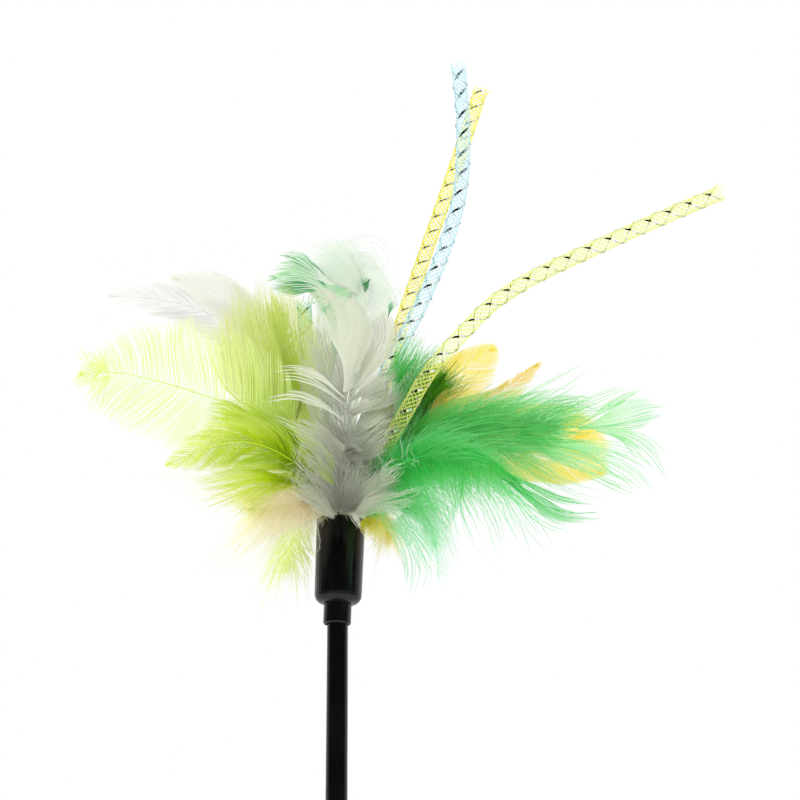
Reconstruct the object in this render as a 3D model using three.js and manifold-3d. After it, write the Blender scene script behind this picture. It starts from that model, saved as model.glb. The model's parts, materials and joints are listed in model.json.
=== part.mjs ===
// Feather wand toy: a tapered stick with a pull-off head of feathers and braided mesh tubes.
// Millimetres, +Z up along the stick, origin at the centre of the butt's end face.

import * as THREE from 'three';
import { mergeVertices } from 'three/addons/utils/BufferGeometryUtils.js';
import Module from 'manifold-3d';

const wasm = await Module();
wasm.setup();

// Gaps between pieces
const CLEARANCE = 0.3;
const GLUE_CLEARANCE = 0.22;
const SOCKET_CLEARANCE = 0.35;

// Stick
const ROD_LENGTH = 328;
const ROD_TOP_DIAMETER = 5.05;
const ROD_BUTT_DIAMETER = 6.8;
const ROD_TOP_CHAMFER = 0.5;
const ROD_SIDES = 32;

// Butt cap
const BUTT_CAP_WALL = 1.3;
const BUTT_CAP_FLOOR = 2;
const BUTT_CAP_DEPTH = 16;
const BUTT_CAP_ROUND = 1.2;

// Head moulding: cup, shoulder and sleeve
const SOCKET_DEPTH = 10;
const SLEEVE_WALL = 0.5;
const SLEEVE_LENGTH = 5.1;
const SLEEVE_LIP_ROUND = 0.45;
const CUP_HEIGHT = 21.2;
const CUP_MOUTH_DIAMETER = 12;
const CUP_FOOT_DIAMETER = 11.6;
const CUP_WALL = 0.7;
const CUP_FLOOR = 1.5;
const CUP_SHOULDER_ROUND = 2.3;
const CUP_RIM_ROUND = 0.25;
const CUP_SIDES = 40;
const HEAD_LEAN_DEGREES = 1.8;

// Glue, binding and the roots set in them
const GLUE_BELOW_RIM = 3;
const ROOT_DEPTH = 6;
const BINDING_THREAD_DIAMETER = 0.35;
const BINDING_HEIGHT = 1.4;
const QUILL_DIAMETER = 0.8;
const INNER_ROOT_RING_SHARE = 0.57;
const ROOT_SIDES = 8;

// Braided mesh tubes
const MESH_TUBE_DIAMETER = 4;
const MESH_TUBE_WALL = 0.3;
const MESH_ROOT_DIAMETER = 1.3;
const MESH_TAPER_LENGTH = 24;
const MESH_TUBE_SIDES = 8;
const MESH_TUBE_STEPS = 20;
const MESH_BORE_STEP = 2;

// Feather blades
const FEATHER_SIDES = 8;
const FEATHER_STEPS = 16;
const BLADE_START_SHARE = 0.3;
const TIP_ROUND_SHARE = 0.14;
const TIP_LEAST_SHARE = 0.22;

// Where each part of the head lies, measured down from the rim of the cup
const SOCKET_MOUTH_Z = -(CUP_HEIGHT + SLEEVE_LENGTH);
const SOCKET_TOP_Z = SOCKET_MOUTH_Z + SOCKET_DEPTH;
const CUP_INNER_FLOOR_Z = SOCKET_TOP_Z + CUP_FLOOR;
const GLUE_TOP_Z = -GLUE_BELOW_RIM;
const ROOT_END_Z = GLUE_TOP_Z - ROOT_DEPTH;

const rodSlope = (ROD_BUTT_DIAMETER - ROD_TOP_DIAMETER) / ROD_LENGTH;
const ROD_TOP_Z = BUTT_CAP_FLOOR + CLEARANCE + ROD_LENGTH;
const rodRadiusBelowTop = (distance) => (ROD_TOP_DIAMETER + distance * rodSlope) / 2;
const SOCKET_RADIUS = rodRadiusBelowTop(SOCKET_DEPTH) + SOCKET_CLEARANCE;
const SLEEVE_RADIUS = SOCKET_RADIUS + SLEEVE_WALL;
const CUP_INNER_RADIUS = CUP_FOOT_DIAMETER / 2 - CUP_WALL;
const BINDING_OUTER_RADIUS = CUP_INNER_RADIUS - CLEARANCE;
const BINDING_INNER_RADIUS = BINDING_OUTER_RADIUS - BINDING_THREAD_DIAMETER;
const OUTER_ROOT_RADIUS = BINDING_INNER_RADIUS - GLUE_CLEARANCE - QUILL_DIAMETER / 2;
const INNER_ROOT_RADIUS = OUTER_ROOT_RADIUS * INNER_ROOT_RING_SHARE;

// Finishes
const blackPlastic = { color: 0x0b0b0c, roughness: 0.28, metalness: 0 };
const blackRubber = { color: 0x141414, roughness: 0.8, metalness: 0 };
const clearGlue = { color: 0xd9cfa8, roughness: 0.35, metalness: 0 };
const thread = { color: 0xe9e6dc, roughness: 0.9, metalness: 0 };
const plume = (color) => ({ color, roughness: 0.85, metalness: 0 });
const mesh = (color) => ({ color, roughness: 0.4, metalness: 0 });

// Where a feather or a tube is rooted: ring and compass angle, counted from +X towards +Y
const outer = (degrees) => ({ radius: OUTER_ROOT_RADIUS, degrees });
const inner = (degrees) => ({ radius: INNER_ROOT_RADIUS, degrees });
const centre = { radius: 0, degrees: 0 };

// Each feather: its root, the line of its shaft above the rim (x, y, z from the rim's centre),
// and the reach of its barbs on the right and left of the shaft at even steps from rim to tip.
// Right and left are as seen from the front (-Y) with the tip held up. Twist turns the blade
// about its shaft in degrees, and cupping bends its edges back by that share of their reach.
const feathers = [
  {
    name: 'feather_white_front', color: 0xe9eae2, root: outer(270), thickness: 1.4, twist: -12, cupping: 0.15,
    shaft: [[0, -12.5, 7], [0.5, -19.5, 18], [2, -24, 27.5], [4.5, -25, 38], [3.5, -22.5, 48.5], [1, -17, 55]],
    right: [0.6, 2.5, 7, 8, 7.5, 6.5, 6, 4], left: [0.6, 2, 7, 9, 9, 9, 8, 6],
  },
  {
    name: 'feather_lime_long', color: 0xd8ee7a, root: outer(198), thickness: 1.4, twist: 14, cupping: 0.12,
    shaft: [
      [-6, -6.5, 10.5], [-13, -11, 19], [-23, -14, 23.5], [-33, -17, 26], [-45, -17, 30],
      [-58, -14, 33], [-67, -8.5, 34],
    ],
    right: [0.6, 2, 6, 15, 19, 17, 11, 4], left: [0.6, 1.6, 6, 11, 14, 13, 10, 5],
  },
  {
    name: 'feather_lime_upright', color: 0xc4e03a, root: inner(182), thickness: 1.6, twist: 0, cupping: 0.08,
    shaft: [[-5, -0.5, 11], [-11, 0, 24], [-17, 1.5, 36], [-23, 3, 48], [-27, 4, 59]],
    right: [0.5, 2, 6, 10, 12, 11, 9, 6], left: [0.5, 2, 6, 10, 12, 13, 12, 8],
  },
  {
    name: 'feather_lime_short', color: 0xc8ea1e, root: outer(246), thickness: 1.6, twist: -22, cupping: 0.2,
    shaft: [[-5.5, -8.4, 6], [-14, -19.5, 11], [-23.5, -25, 12.5], [-32.5, -28, 9.5], [-42, -26.5, 5.5]],
    right: [0.6, 1.2, 4.5, 6, 6, 5, 4, 2.5], left: [0.6, 1.2, 4, 7, 8, 8, 6, 3],
  },
  {
    name: 'feather_white_wisp_low', color: 0xe6e6e0, root: outer(150), thickness: 1.2, twist: 20, cupping: -0.2,
    shaft: [
      [-7, 7, 14.5], [-14.5, 14, 33], [-22, 19.5, 47.5], [-30, 24, 56], [-39.5, 26.5, 61],
      [-51.5, 25, 64], [-64.5, 21, 62],
    ],
    right: [0.5, 2, 4, 5, 5, 5.5, 5, 3], left: [0.5, 2, 4, 6, 8, 9, 7, 3],
  },
  {
    name: 'feather_white_wisp_high', color: 0xf0eee4, root: inner(142), thickness: 1.2, twist: 10, cupping: -0.1,
    shaft: [[-5, 4, 12.5], [-12, 8.5, 30.5], [-20.5, 12.5, 46.5], [-28, 15.5, 57], [-36, 17, 64], [-47.5, 15.5, 67]],
    right: [0.5, 0.8, 1.6, 3.5, 4.5, 4.5, 4, 2.5], left: [0.5, 1.5, 3, 4, 4.5, 5, 4, 2],
  },
  {
    name: 'feather_cream_down', color: 0xe9cfa9, root: outer(222), thickness: 3, twist: -12, cupping: 0.15,
    shaft: [[-4.3, -4.2, 3], [-9.5, -7, 2.5], [-17, -9.5, -1], [-25, -11, -6]],
    right: [0.5, 0.8, 2, 4.5, 6, 6, 5, 3], left: [0.5, 0.8, 3, 5, 6, 6, 5, 3],
  },
  {
    name: 'feather_lime_down', color: 0xcfe64a, root: outer(174), thickness: 3, twist: 35, cupping: 0.1,
    shaft: [[-4.8, 1.1, 3], [-9.5, 4, 2], [-12.5, 5.5, -6], [-13.5, 4, -15]],
    right: [0.4, 0.6, 2, 4, 5, 5, 4, 2], left: [0.4, 0.6, 1.5, 3, 3.5, 4, 3.5, 2],
  },
  {
    name: 'feather_emerald_curl', color: 0x16a548, root: outer(126), thickness: 1.6, twist: 22, cupping: -0.2,
    shaft: [
      [-4.5, 12, 18.5], [-8, 19, 35], [-10.5, 25, 52], [-12.5, 28.5, 64], [-16, 31, 73], [-22.5, 32, 76],
    ],
    right: [0.5, 0.8, 3, 5, 7, 9, 8, 4], left: [0.5, 0.8, 2, 4, 6, 7, 6, 3],
  },
  {
    name: 'feather_mint_arch', color: 0xb5e3c4, root: outer(102), thickness: 1.6, twist: -24, cupping: -0.25,
    shaft: [
      [-0.5, 16.5, 21], [-2.5, 28, 39.5], [-6, 35.5, 57.5], [-9.5, 40.5, 71], [-8.5, 45, 80], [-3, 46, 84.5],
      [4, 43.5, 81],
    ],
    right: [0.4, 1, 4, 8, 12, 13, 10, 5], left: [0.4, 1, 3, 5, 6, 5, 4, 3],
  },
  {
    name: 'feather_green_long', color: 0x35c268, root: outer(6), thickness: 3, twist: 10, cupping: 0.12,
    shaft: [
      [6.5, -1, 8], [12, -3.5, 13], [21.5, -5.5, 18.5], [33.5, -8.5, 22.5], [48.5, -8.5, 24.5], [63.5, -5.5, 26],
      [73.5, -3, 28.5], [80, 0, 30.5],
    ],
    right: [0.5, 2.5, 9, 15, 18, 18, 13, 6], left: [0.5, 1.5, 5, 9, 11, 12, 9, 5],
  },
  {
    name: 'feather_green_curl', color: 0x2fbf63, root: outer(294), thickness: 1.6, twist: -26, cupping: 0.25,
    shaft: [
      [5.5, -8.4, 6], [12.5, -18, 9], [21.5, -24, 11.5], [32, -26.5, 13], [41.5, -28, 8.5],
      [48.5, -28, 0.5], [55, -26.5, -4.5], [63.5, -24, -3],
    ],
    right: [0.6, 1.3, 5, 8, 9, 9, 6, 2.5], left: [0.6, 1.6, 5, 6, 6, 5, 3, 1.5],
  },
  {
    name: 'feather_gold_broad', color: 0xf0bf3a, root: outer(30), thickness: 1.4, twist: -14, cupping: -0.15,
    shaft: [[6.5, 6.2, 9], [14, 11, 15.5], [26.5, 15.5, 21], [42, 17, 24], [55, 17, 24], [66.5, 14, 21]],
    right: [0.5, 2, 4, 6, 8, 9, 9, 7], left: [0.5, 2, 3.5, 5, 7, 8, 8, 6],
  },
  {
    name: 'feather_gold_round', color: 0xf2c640, root: outer(78), thickness: 1.4, twist: 20, cupping: -0.25,
    shaft: [[3.5, 13.5, 17.5], [11.5, 22.5, 31], [21.5, 29.5, 42.5], [30.5, 32, 49.5], [39, 32, 54.5]],
    right: [0.5, 1, 3, 6, 7.5, 8, 8, 6], left: [0.5, 0.8, 3, 5, 7, 8, 8, 6],
  },
  {
    name: 'feather_gold_narrow', color: 0xd9a22a, root: outer(54), thickness: 1.4, twist: 18, cupping: -0.1,
    shaft: [[6.5, 10, 13.5], [14, 17, 24.5], [25, 21.5, 34], [38, 24.5, 41.5], [49.5, 24, 49]],
    right: [0.5, 1, 3, 4, 4.5, 4, 3, 1.5], left: [0.5, 1, 2.5, 3.5, 4, 3.5, 2.5, 1.2],
  },
  {
    name: 'feather_moss', color: 0x3d6b2a, root: inner(0), thickness: 1.6, twist: 8, cupping: -0.08,
    shaft: [[6.5, 3, 13.5], [12.5, 4, 25], [18, 4, 35], [22.5, 3.5, 42.5], [25.5, 3, 47.5]],
    right: [0.5, 1, 4, 6.5, 7.5, 7, 6, 4], left: [0.5, 0.8, 2, 4, 6, 6.5, 6, 4],
  },
  {
    name: 'feather_green_down', color: 0x4fd08a, root: outer(318), thickness: 3, twist: 28, cupping: 0.2,
    shaft: [[4.9, -4.5, 3], [10, -10, 2.5], [17, -14.5, -2.5], [21, -16, -11.5], [22.5, -15.5, -22]],
    right: [0.5, 1, 4, 7, 7, 6, 5, 3], left: [0.5, 0.8, 3.5, 8, 9, 8, 5, 3],
  },
  {
    name: 'feather_gold_down', color: 0xf0c060, root: outer(342), thickness: 2, twist: -20, cupping: 0.1,
    shaft: [[4.8, -2, 2.4], [8.5, -2.9, 1], [11.5, -4.5, -4], [12.5, -4, -11]],
    right: [0.4, 0.5, 1.5, 3, 4, 4, 3, 2], left: [0.4, 0.5, 1.5, 3, 4, 4, 3, 2],
  },
];

// Each mesh tube: its root and the line of its middle above the rim
const meshTubes = [
  {
    name: 'mesh_tube_blue', color: 0xbfe6f2, root: centre,
    line: [
      [1.5, 1.5, 11.5], [4.5, 5, 24.5], [9, 7.5, 38.5], [13, 9, 48], [18.5, 10.5, 61], [24, 11, 76.5],
      [27.5, 12, 93], [27.5, 12, 112.5], [26, 12, 126],
    ],
  },
  {
    name: 'mesh_tube_yellow', color: 0xf6f05a, root: inner(50),
    line: [
      [3, 6.5, 12.5], [6, 11, 26.5], [9.5, 15.5, 41], [13, 19, 56.5], [18, 20.5, 74.5], [23.5, 21, 93],
      [28, 21, 108.5], [32, 21, 123],
    ],
  },
  {
    name: 'mesh_tube_lime', color: 0xdcf05a, root: inner(310),
    line: [
      [5, -5.5, 8], [10.5, -8.5, 17], [15, -10, 25], [21, -11, 36], [28, -12.5, 44.5], [36, -13.5, 53],
      [46, -14, 60], [57, -14, 66], [74.5, -12.5, 75.5], [92, -11, 84.5],
    ],
  },
  {
    name: 'mesh_tube_green', color: 0x3fb070, root: inner(95),
    line: [[-1.8, 5.5, 14.5], [-6.5, 9, 29.5], [-10.5, 12.5, 46], [-12, 14, 60]],
  },
];

// Geometry helpers

function closedGeometry(positions, triangles) {
  const geometry = new THREE.BufferGeometry();
  geometry.setAttribute('position', new THREE.Float32BufferAttribute(positions, 3));
  geometry.setIndex(triangles);
  geometry.computeVertexNormals();
  return geometry;
}

// Joins rings of equal size one after the other and closes both ends
function skinRings(rings) {
  const sides = rings[0].length;
  const positions = [];
  const triangles = [];
  for (const ring of rings) {
    for (const point of ring) positions.push(point.x, point.y, point.z);
  }
  for (let r = 0; r + 1 < rings.length; r += 1) {
    for (let s = 0; s < sides; s += 1) {
      const a = r * sides + s;
      const b = r * sides + (s + 1) % sides;
      triangles.push(a, b, b + sides, a, b + sides, a + sides);
    }
  }
  const closeEnd = (ringIndex, reversed) => {
    const middle = rings[ringIndex].reduce((sum, p) => sum.add(p), new THREE.Vector3());
    middle.divideScalar(sides);
    const hub = positions.length / 3;
    positions.push(middle.x, middle.y, middle.z);
    for (let s = 0; s < sides; s += 1) {
      const a = ringIndex * sides + s;
      const b = ringIndex * sides + (s + 1) % sides;
      triangles.push(...(reversed ? [hub, b, a] : [hub, a, b]));
    }
  };
  closeEnd(0, true);
  closeEnd(rings.length - 1, false);
  return closedGeometry(positions, triangles);
}

function lathe(profile, sides) {
  const points = profile.map(([radius, height]) => new THREE.Vector2(radius, height));
  const geometry = new THREE.LatheGeometry(points, sides);
  geometry.rotateX(Math.PI / 2);
  return geometry;
}

// Points of a quarter round from one direction to another about a centre, in degrees
function quarterRound(centreRadius, centreHeight, radius, fromDegrees, toDegrees, steps) {
  return Array.from({ length: steps + 1 }, (_, i) => {
    const angle = THREE.MathUtils.degToRad(fromDegrees + (toDegrees - fromDegrees) * i / steps);
    return [centreRadius + radius * Math.cos(angle), centreHeight + radius * Math.sin(angle)];
  });
}

function toSolid(geometry) {
  const bare = geometry.clone();
  bare.deleteAttribute('normal');
  bare.deleteAttribute('uv');
  const welded = mergeVertices(bare, 1e-5);
  return new wasm.Manifold(new wasm.Mesh({
    numProp: 3,
    vertProperties: new Float32Array(welded.attributes.position.array),
    triVerts: new Uint32Array(welded.index.array),
  }));
}

function fromSolid(solid) {
  const { vertProperties, triVerts } = solid.getMesh();
  return closedGeometry(Array.from(vertProperties), Array.from(triVerts));
}

function piece(name, geometry, finish) {
  const made = new THREE.Mesh(geometry, new THREE.MeshStandardMaterial(finish));
  made.name = name;
  return made;
}

// A value from an evenly spaced list, blended smoothly between its entries
function smoothValue(list, share) {
  const place = THREE.MathUtils.clamp(share, 0, 1) * (list.length - 1);
  const index = Math.min(Math.floor(place), list.length - 2);
  const t = place - index;
  const ease = t * t * (3 - 2 * t);
  return list[index] * (1 - ease) + list[index + 1] * ease;
}

// Stick and butt cap

function makeRod() {
  const top = ROD_TOP_DIAMETER / 2;
  const butt = ROD_BUTT_DIAMETER / 2;
  const bottomZ = BUTT_CAP_FLOOR + CLEARANCE;
  return piece('rod', lathe([
    [0, bottomZ],
    [butt, bottomZ],
    [rodRadiusBelowTop(ROD_TOP_CHAMFER), ROD_TOP_Z - ROD_TOP_CHAMFER],
    [top - ROD_TOP_CHAMFER, ROD_TOP_Z],
    [0, ROD_TOP_Z],
  ], ROD_SIDES), blackPlastic);
}

function makeButtCap() {
  const bore = ROD_BUTT_DIAMETER / 2 + CLEARANCE;
  const outside = bore + BUTT_CAP_WALL;
  const topZ = BUTT_CAP_FLOOR + BUTT_CAP_DEPTH;
  const footRound = quarterRound(
    outside - BUTT_CAP_ROUND, BUTT_CAP_ROUND, BUTT_CAP_ROUND, -90, 0, 4,
  );
  const lipRound = BUTT_CAP_WALL / 2;
  return piece('butt_cap', lathe([
    [0, 0],
    ...footRound,
    ...quarterRound(outside - lipRound, topZ - lipRound, lipRound, 0, 180, 4),
    [bore, BUTT_CAP_FLOOR],
    [0, BUTT_CAP_FLOOR],
  ], ROD_SIDES), blackRubber);
}

// Head moulding, glue and binding, all measured from the rim of the cup

function makeHeadCup() {
  const foot = CUP_FOOT_DIAMETER / 2;
  const mouth = CUP_MOUTH_DIAMETER / 2;
  const footZ = -CUP_HEIGHT;
  return piece('head_cup', lathe([
    [0, SOCKET_TOP_Z],
    [SOCKET_RADIUS, SOCKET_TOP_Z],
    [SOCKET_RADIUS, SOCKET_MOUTH_Z],
    ...quarterRound(
      SLEEVE_RADIUS - SLEEVE_LIP_ROUND, SOCKET_MOUTH_Z + SLEEVE_LIP_ROUND, SLEEVE_LIP_ROUND, -90, 0, 3,
    ),
    [SLEEVE_RADIUS, footZ],
    ...quarterRound(
      foot - CUP_SHOULDER_ROUND, footZ + CUP_SHOULDER_ROUND, CUP_SHOULDER_ROUND, -90, 0, 5,
    ),
    ...quarterRound(mouth - CUP_RIM_ROUND, -CUP_RIM_ROUND, CUP_RIM_ROUND, 0, 90, 2),
    [CUP_INNER_RADIUS, 0],
    [CUP_INNER_RADIUS, CUP_INNER_FLOOR_Z],
    [0, CUP_INNER_FLOOR_Z],
  ], CUP_SIDES), blackPlastic);
}

function rootPlace(root) {
  const angle = THREE.MathUtils.degToRad(root.degrees);
  return new THREE.Vector3(root.radius * Math.cos(angle), root.radius * Math.sin(angle), 0);
}

// The glue fills the cup below the rim and keeps one socket round each quill and tube root
function makeGluePlug() {
  const bottomZ = CUP_INNER_FLOOR_Z + GLUE_CLEARANCE;
  const plugHeight = GLUE_TOP_Z - bottomZ;
  const plug = new THREE.CylinderGeometry(
    CUP_INNER_RADIUS - GLUE_CLEARANCE, CUP_INNER_RADIUS - GLUE_CLEARANCE, plugHeight, CUP_SIDES,
  );
  plug.rotateX(Math.PI / 2);
  plug.translate(0, 0, (GLUE_TOP_Z + bottomZ) / 2);
  let solid = toSolid(plug);
  const rooted = [
    ...feathers.map((feather) => ({ root: feather.root, diameter: QUILL_DIAMETER })),
    ...meshTubes.map((tube) => ({ root: tube.root, diameter: MESH_ROOT_DIAMETER })),
  ];
  const socketDepth = ROOT_DEPTH + GLUE_CLEARANCE;
  for (const { root, diameter } of rooted) {
    const radius = diameter / 2 + GLUE_CLEARANCE;
    const socket = new THREE.CylinderGeometry(radius, radius, 2 * socketDepth, ROOT_SIDES);
    socket.rotateX(Math.PI / 2);
    socket.translate(rootPlace(root).x, rootPlace(root).y, GLUE_TOP_Z);
    solid = solid.subtract(toSolid(socket));
  }
  return piece('glue_plug', fromSolid(solid), clearGlue);
}

function makeBinding() {
  const lowZ = GLUE_TOP_Z + CLEARANCE;
  const highZ = lowZ + BINDING_HEIGHT;
  return piece('binding_thread', lathe([
    [BINDING_INNER_RADIUS, lowZ],
    [BINDING_OUTER_RADIUS, lowZ],
    [BINDING_OUTER_RADIUS, highZ],
    [BINDING_INNER_RADIUS, highZ],
    [BINDING_INNER_RADIUS, lowZ],
  ], CUP_SIDES), thread);
}

// Curve from the root in the glue, straight up through the mouth, then along the given points
function rootedCurve(root, points) {
  const place = rootPlace(root);
  return new THREE.CatmullRomCurve3([
    new THREE.Vector3(place.x, place.y, 0),
    ...points.map(([x, y, z]) => new THREE.Vector3(x, y, z)),
  ], false, 'centripetal');
}

// Directions across a shaft: side to its right as seen from the front, and normal to the back
function crossDirections(along, twistDegrees) {
  const front = new THREE.Vector3(0, -1, 0);
  const side = new THREE.Vector3().crossVectors(along, front).normalize();
  const normal = new THREE.Vector3().crossVectors(along, side).normalize();
  const twist = THREE.MathUtils.degToRad(twistDegrees);
  side.applyAxisAngle(along, twist);
  normal.applyAxisAngle(along, twist);
  return { side, normal };
}

// A lens-shaped ring whose right and left reach may differ, its edges bent back by the cupping
function bladeRing(middle, { side, normal }, right, left, halfThickness, cupping, sides) {
  return Array.from({ length: sides }, (_, i) => {
    const angle = 2 * Math.PI * i / sides;
    const across = Math.cos(angle);
    const reach = across > 0 ? right : left;
    return middle.clone()
      .addScaledVector(side, reach * across)
      .addScaledVector(normal, halfThickness * Math.sin(angle) + cupping * reach * across ** 2);
  });
}

function roundRing(middle, directions, radius, sides) {
  return bladeRing(middle, directions, radius, radius, radius, 0, sides);
}

function rootRings(root, radius, sides) {
  const place = rootPlace(root);
  const directions = crossDirections(new THREE.Vector3(0, 0, 1), 0);
  return [ROOT_END_Z, 0].map((z) => roundRing(
    new THREE.Vector3(place.x, place.y, z), directions, radius, sides,
  ));
}

// Feather blade: a thin lens across the shaft, growing out of a round quill
function makeFeather({ name, color, root, shaft, right, left, thickness, twist, cupping }) {
  const curve = rootedCurve(root, shaft);
  const quill = QUILL_DIAMETER / 2;
  const rings = rootRings(root, quill, FEATHER_SIDES);
  for (let i = 1; i <= FEATHER_STEPS; i += 1) {
    const share = i / FEATHER_STEPS;
    const past = Math.max(0, (share - (1 - TIP_ROUND_SHARE)) / TIP_ROUND_SHARE);
    const tip = Math.max(TIP_LEAST_SHARE, Math.sqrt(1 - past * past));
    const grown = Math.min(1, share / BLADE_START_SHARE);
    const halfThickness = THREE.MathUtils.lerp(quill, thickness / 2, grown) * tip;
    rings.push(bladeRing(
      curve.getPointAt(share), crossDirections(curve.getTangentAt(share), twist * grown),
      tip * smoothValue(right, share), tip * smoothValue(left, share), halfThickness,
      cupping * grown, FEATHER_SIDES,
    ));
  }
  return piece(name, skinRings(rings), plume(color));
}

// Mesh tube: pinched at its root, open at its far end
function makeMeshTube({ name, color, root, line }) {
  const curve = rootedCurve(root, line);
  const length = curve.getLength();
  const rootRadius = MESH_ROOT_DIAMETER / 2;
  const fullRadius = MESH_TUBE_DIAMETER / 2;
  const ringAt = (step, inset) => {
    const share = step / MESH_TUBE_STEPS;
    const grown = THREE.MathUtils.smoothstep(share * length, 0, MESH_TAPER_LENGTH);
    const radius = THREE.MathUtils.lerp(rootRadius, fullRadius, grown) - inset;
    const directions = crossDirections(curve.getTangentAt(share), 0);
    return roundRing(curve.getPointAt(share), directions, radius, MESH_TUBE_SIDES);
  };
  const rings = rootRings(root, rootRadius, MESH_TUBE_SIDES);
  for (let step = 1; step <= MESH_TUBE_STEPS; step += 1) rings.push(ringAt(step, 0));
  for (let step = MESH_TUBE_STEPS; step >= MESH_BORE_STEP; step -= 1) {
    rings.push(ringAt(step, MESH_TUBE_WALL));
  }
  return piece(name, skinRings(rings), mesh(color));
}

// Assembly: the head leans a little in its socket, about the middle of the sleeve's grip on the stick
const wand = new THREE.Group();
wand.add(makeRod(), makeButtCap());

const headPivot = new THREE.Group();
headPivot.position.z = ROD_TOP_Z - SOCKET_DEPTH / 2;
headPivot.rotation.y = THREE.MathUtils.degToRad(HEAD_LEAN_DEGREES);
const head = new THREE.Group();
head.position.z = -(SOCKET_MOUTH_Z + SOCKET_DEPTH / 2) + CLEARANCE;
head.add(
  makeHeadCup(), makeGluePlug(), makeBinding(),
  ...feathers.map(makeFeather), ...meshTubes.map(makeMeshTube),
);
headPivot.add(head);
wand.add(headPivot);

export default wand;
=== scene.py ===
"""Feather wand toy, dressed for the render: barbs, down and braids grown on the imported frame."""

import json
import math

import bpy
import numpy as np
from mathutils import Matrix, Vector


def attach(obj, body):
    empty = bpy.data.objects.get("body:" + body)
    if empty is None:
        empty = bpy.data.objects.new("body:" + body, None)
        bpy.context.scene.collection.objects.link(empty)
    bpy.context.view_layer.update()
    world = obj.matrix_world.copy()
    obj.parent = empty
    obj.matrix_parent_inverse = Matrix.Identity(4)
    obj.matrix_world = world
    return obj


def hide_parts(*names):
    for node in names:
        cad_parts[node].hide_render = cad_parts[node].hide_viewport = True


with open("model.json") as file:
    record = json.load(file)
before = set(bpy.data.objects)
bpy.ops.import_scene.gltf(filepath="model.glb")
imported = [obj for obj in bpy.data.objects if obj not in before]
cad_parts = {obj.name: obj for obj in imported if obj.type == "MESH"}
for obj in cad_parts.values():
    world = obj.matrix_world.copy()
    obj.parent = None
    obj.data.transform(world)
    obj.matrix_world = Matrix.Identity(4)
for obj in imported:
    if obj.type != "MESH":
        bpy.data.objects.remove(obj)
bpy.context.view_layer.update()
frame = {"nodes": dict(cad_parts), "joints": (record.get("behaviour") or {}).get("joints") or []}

# Lengths are written in millimetres and turned into metres where meshes are made
MM = 0.001
MAP_NAME = "OFBake"

# Camera: the photograph's view, from a little below the head. The target's fine decimals matter to the
# points picked on the photograph, which are rounded to a tenth of a millimetre.
PHOTO_SIDE = 800
FOCAL_PIXELS = 2800
SENSOR_WIDTH = 36
VIEW_TARGET = (15.24941, 0, 377.71945)
VIEW_DISTANCE = 700
VIEW_PITCH_DEGREES = 16

# Stage, in metres: half the floor's side, how far from the object it starts to fade to white and is
# white, and the lamps with the point that they face
FLOOR_HALF = 3
FLOOR_FADE = (0.35, 1.0)
LAMP_TARGET = (0.015, 0, 0.38)
LAMPS = {
    "softbox_left": {"place": (-0.9, -0.9, 0.9), "size": (0.7, 1.0), "power": 14},
    "softbox_right": {"place": (1.0, -0.8, 0.7), "size": (0.6, 1.0), "power": 10},
}

# The first seed of the feathers and of the mesh tubes
FEATHER_SEED = 100
TUBE_SEED = 200

# Directions in the head's frame
TO_VIEWER = np.array([0.0, -1.0, 0.0])
AWAY = np.array([0.0, 1.0, 0.0])

# How the head leans on the stick: by how much, at what height, and where its rim would stand upright
HEAD_LEAN_DEGREES = 1.8
HEAD_LEANS_AT_Z = 325.3
UPRIGHT_RIM_Z = 346.9

# Roots in the glue, from the rim of the cup
OUTER_ROOT_RADIUS = 3.83
INNER_ROOT_RADIUS = 2.18
ROOT_END_Z = -9
QUILL_DIAMETER = 0.8
QUILL_TIP_DIAMETER = 0.14
MESH_ROOT_DIAMETER = 1.3

# Binding thread
BINDING_TURNS = 4
BINDING_THREAD_DIAMETER = 0.35
BINDING_FOOT_Z = -2.7
BINDING_HEIGHT = 1.4
BINDING_OUTER_RADIUS = 4.8
BINDING_STEPS = 220

# Feather blades
BLADE_START_SHARE = 0.3
TIP_ROUND_SHARE = 0.14
TIP_LEAST_SHARE = 0.22

# Mesh tubes
MESH_TUBE_DIAMETER = 4
MESH_TAPER_LENGTH = 24
FILAMENTS_EACH_WAY = 8
FILAMENT_DIAMETER = 0.16
STEPS_PER_CROSSING = 1.5
WEAVE_LIFT = 0.42 * FILAMENT_DIAMETER
FOIL_LIFT = 1.6 * WEAVE_LIFT
FRAY_LENGTHS = (0.3, 2.2)
FRAY_STEPS = 5


def on_circle(radius, degrees):
    angle = math.radians(degrees)
    return (radius * math.cos(angle), radius * math.sin(angle))


def outer(degrees):
    return on_circle(OUTER_ROOT_RADIUS, degrees)


def inner(degrees):
    return on_circle(INNER_ROOT_RADIUS, degrees)


def at(across, down, depth):
    """The point of the head that shows at a pixel of the photograph, at a depth chosen for it.

    across and down are in pixels of the photograph, and depth is in mm away from the viewer. The point is
    in mm from the rim's centre, to a tenth of a millimetre.
    """
    pitch = math.radians(VIEW_PITCH_DEGREES)
    ahead = np.array([0, math.cos(pitch), math.sin(pitch)])
    upward = np.array([0, -math.sin(pitch), math.cos(pitch)])
    camera = np.array(VIEW_TARGET) - ahead * VIEW_DISTANCE
    middle = PHOTO_SIDE / 2
    ray = ahead - (down - middle) / FOCAL_PIXELS * upward
    ray[0] = (across - middle) / FOCAL_PIXELS
    x, y, z = camera + ray * (depth - camera[1]) / ray[1]
    z = z - HEAD_LEANS_AT_Z
    lean = math.radians(HEAD_LEAN_DEGREES)
    across_head = x * math.cos(lean) - z * math.sin(lean)
    up_head = x * math.sin(lean) + z * math.cos(lean) + HEAD_LEANS_AT_Z - UPRIGHT_RIM_Z
    return tuple(round(float(value), 1) for value in (across_head, y, up_head))


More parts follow.
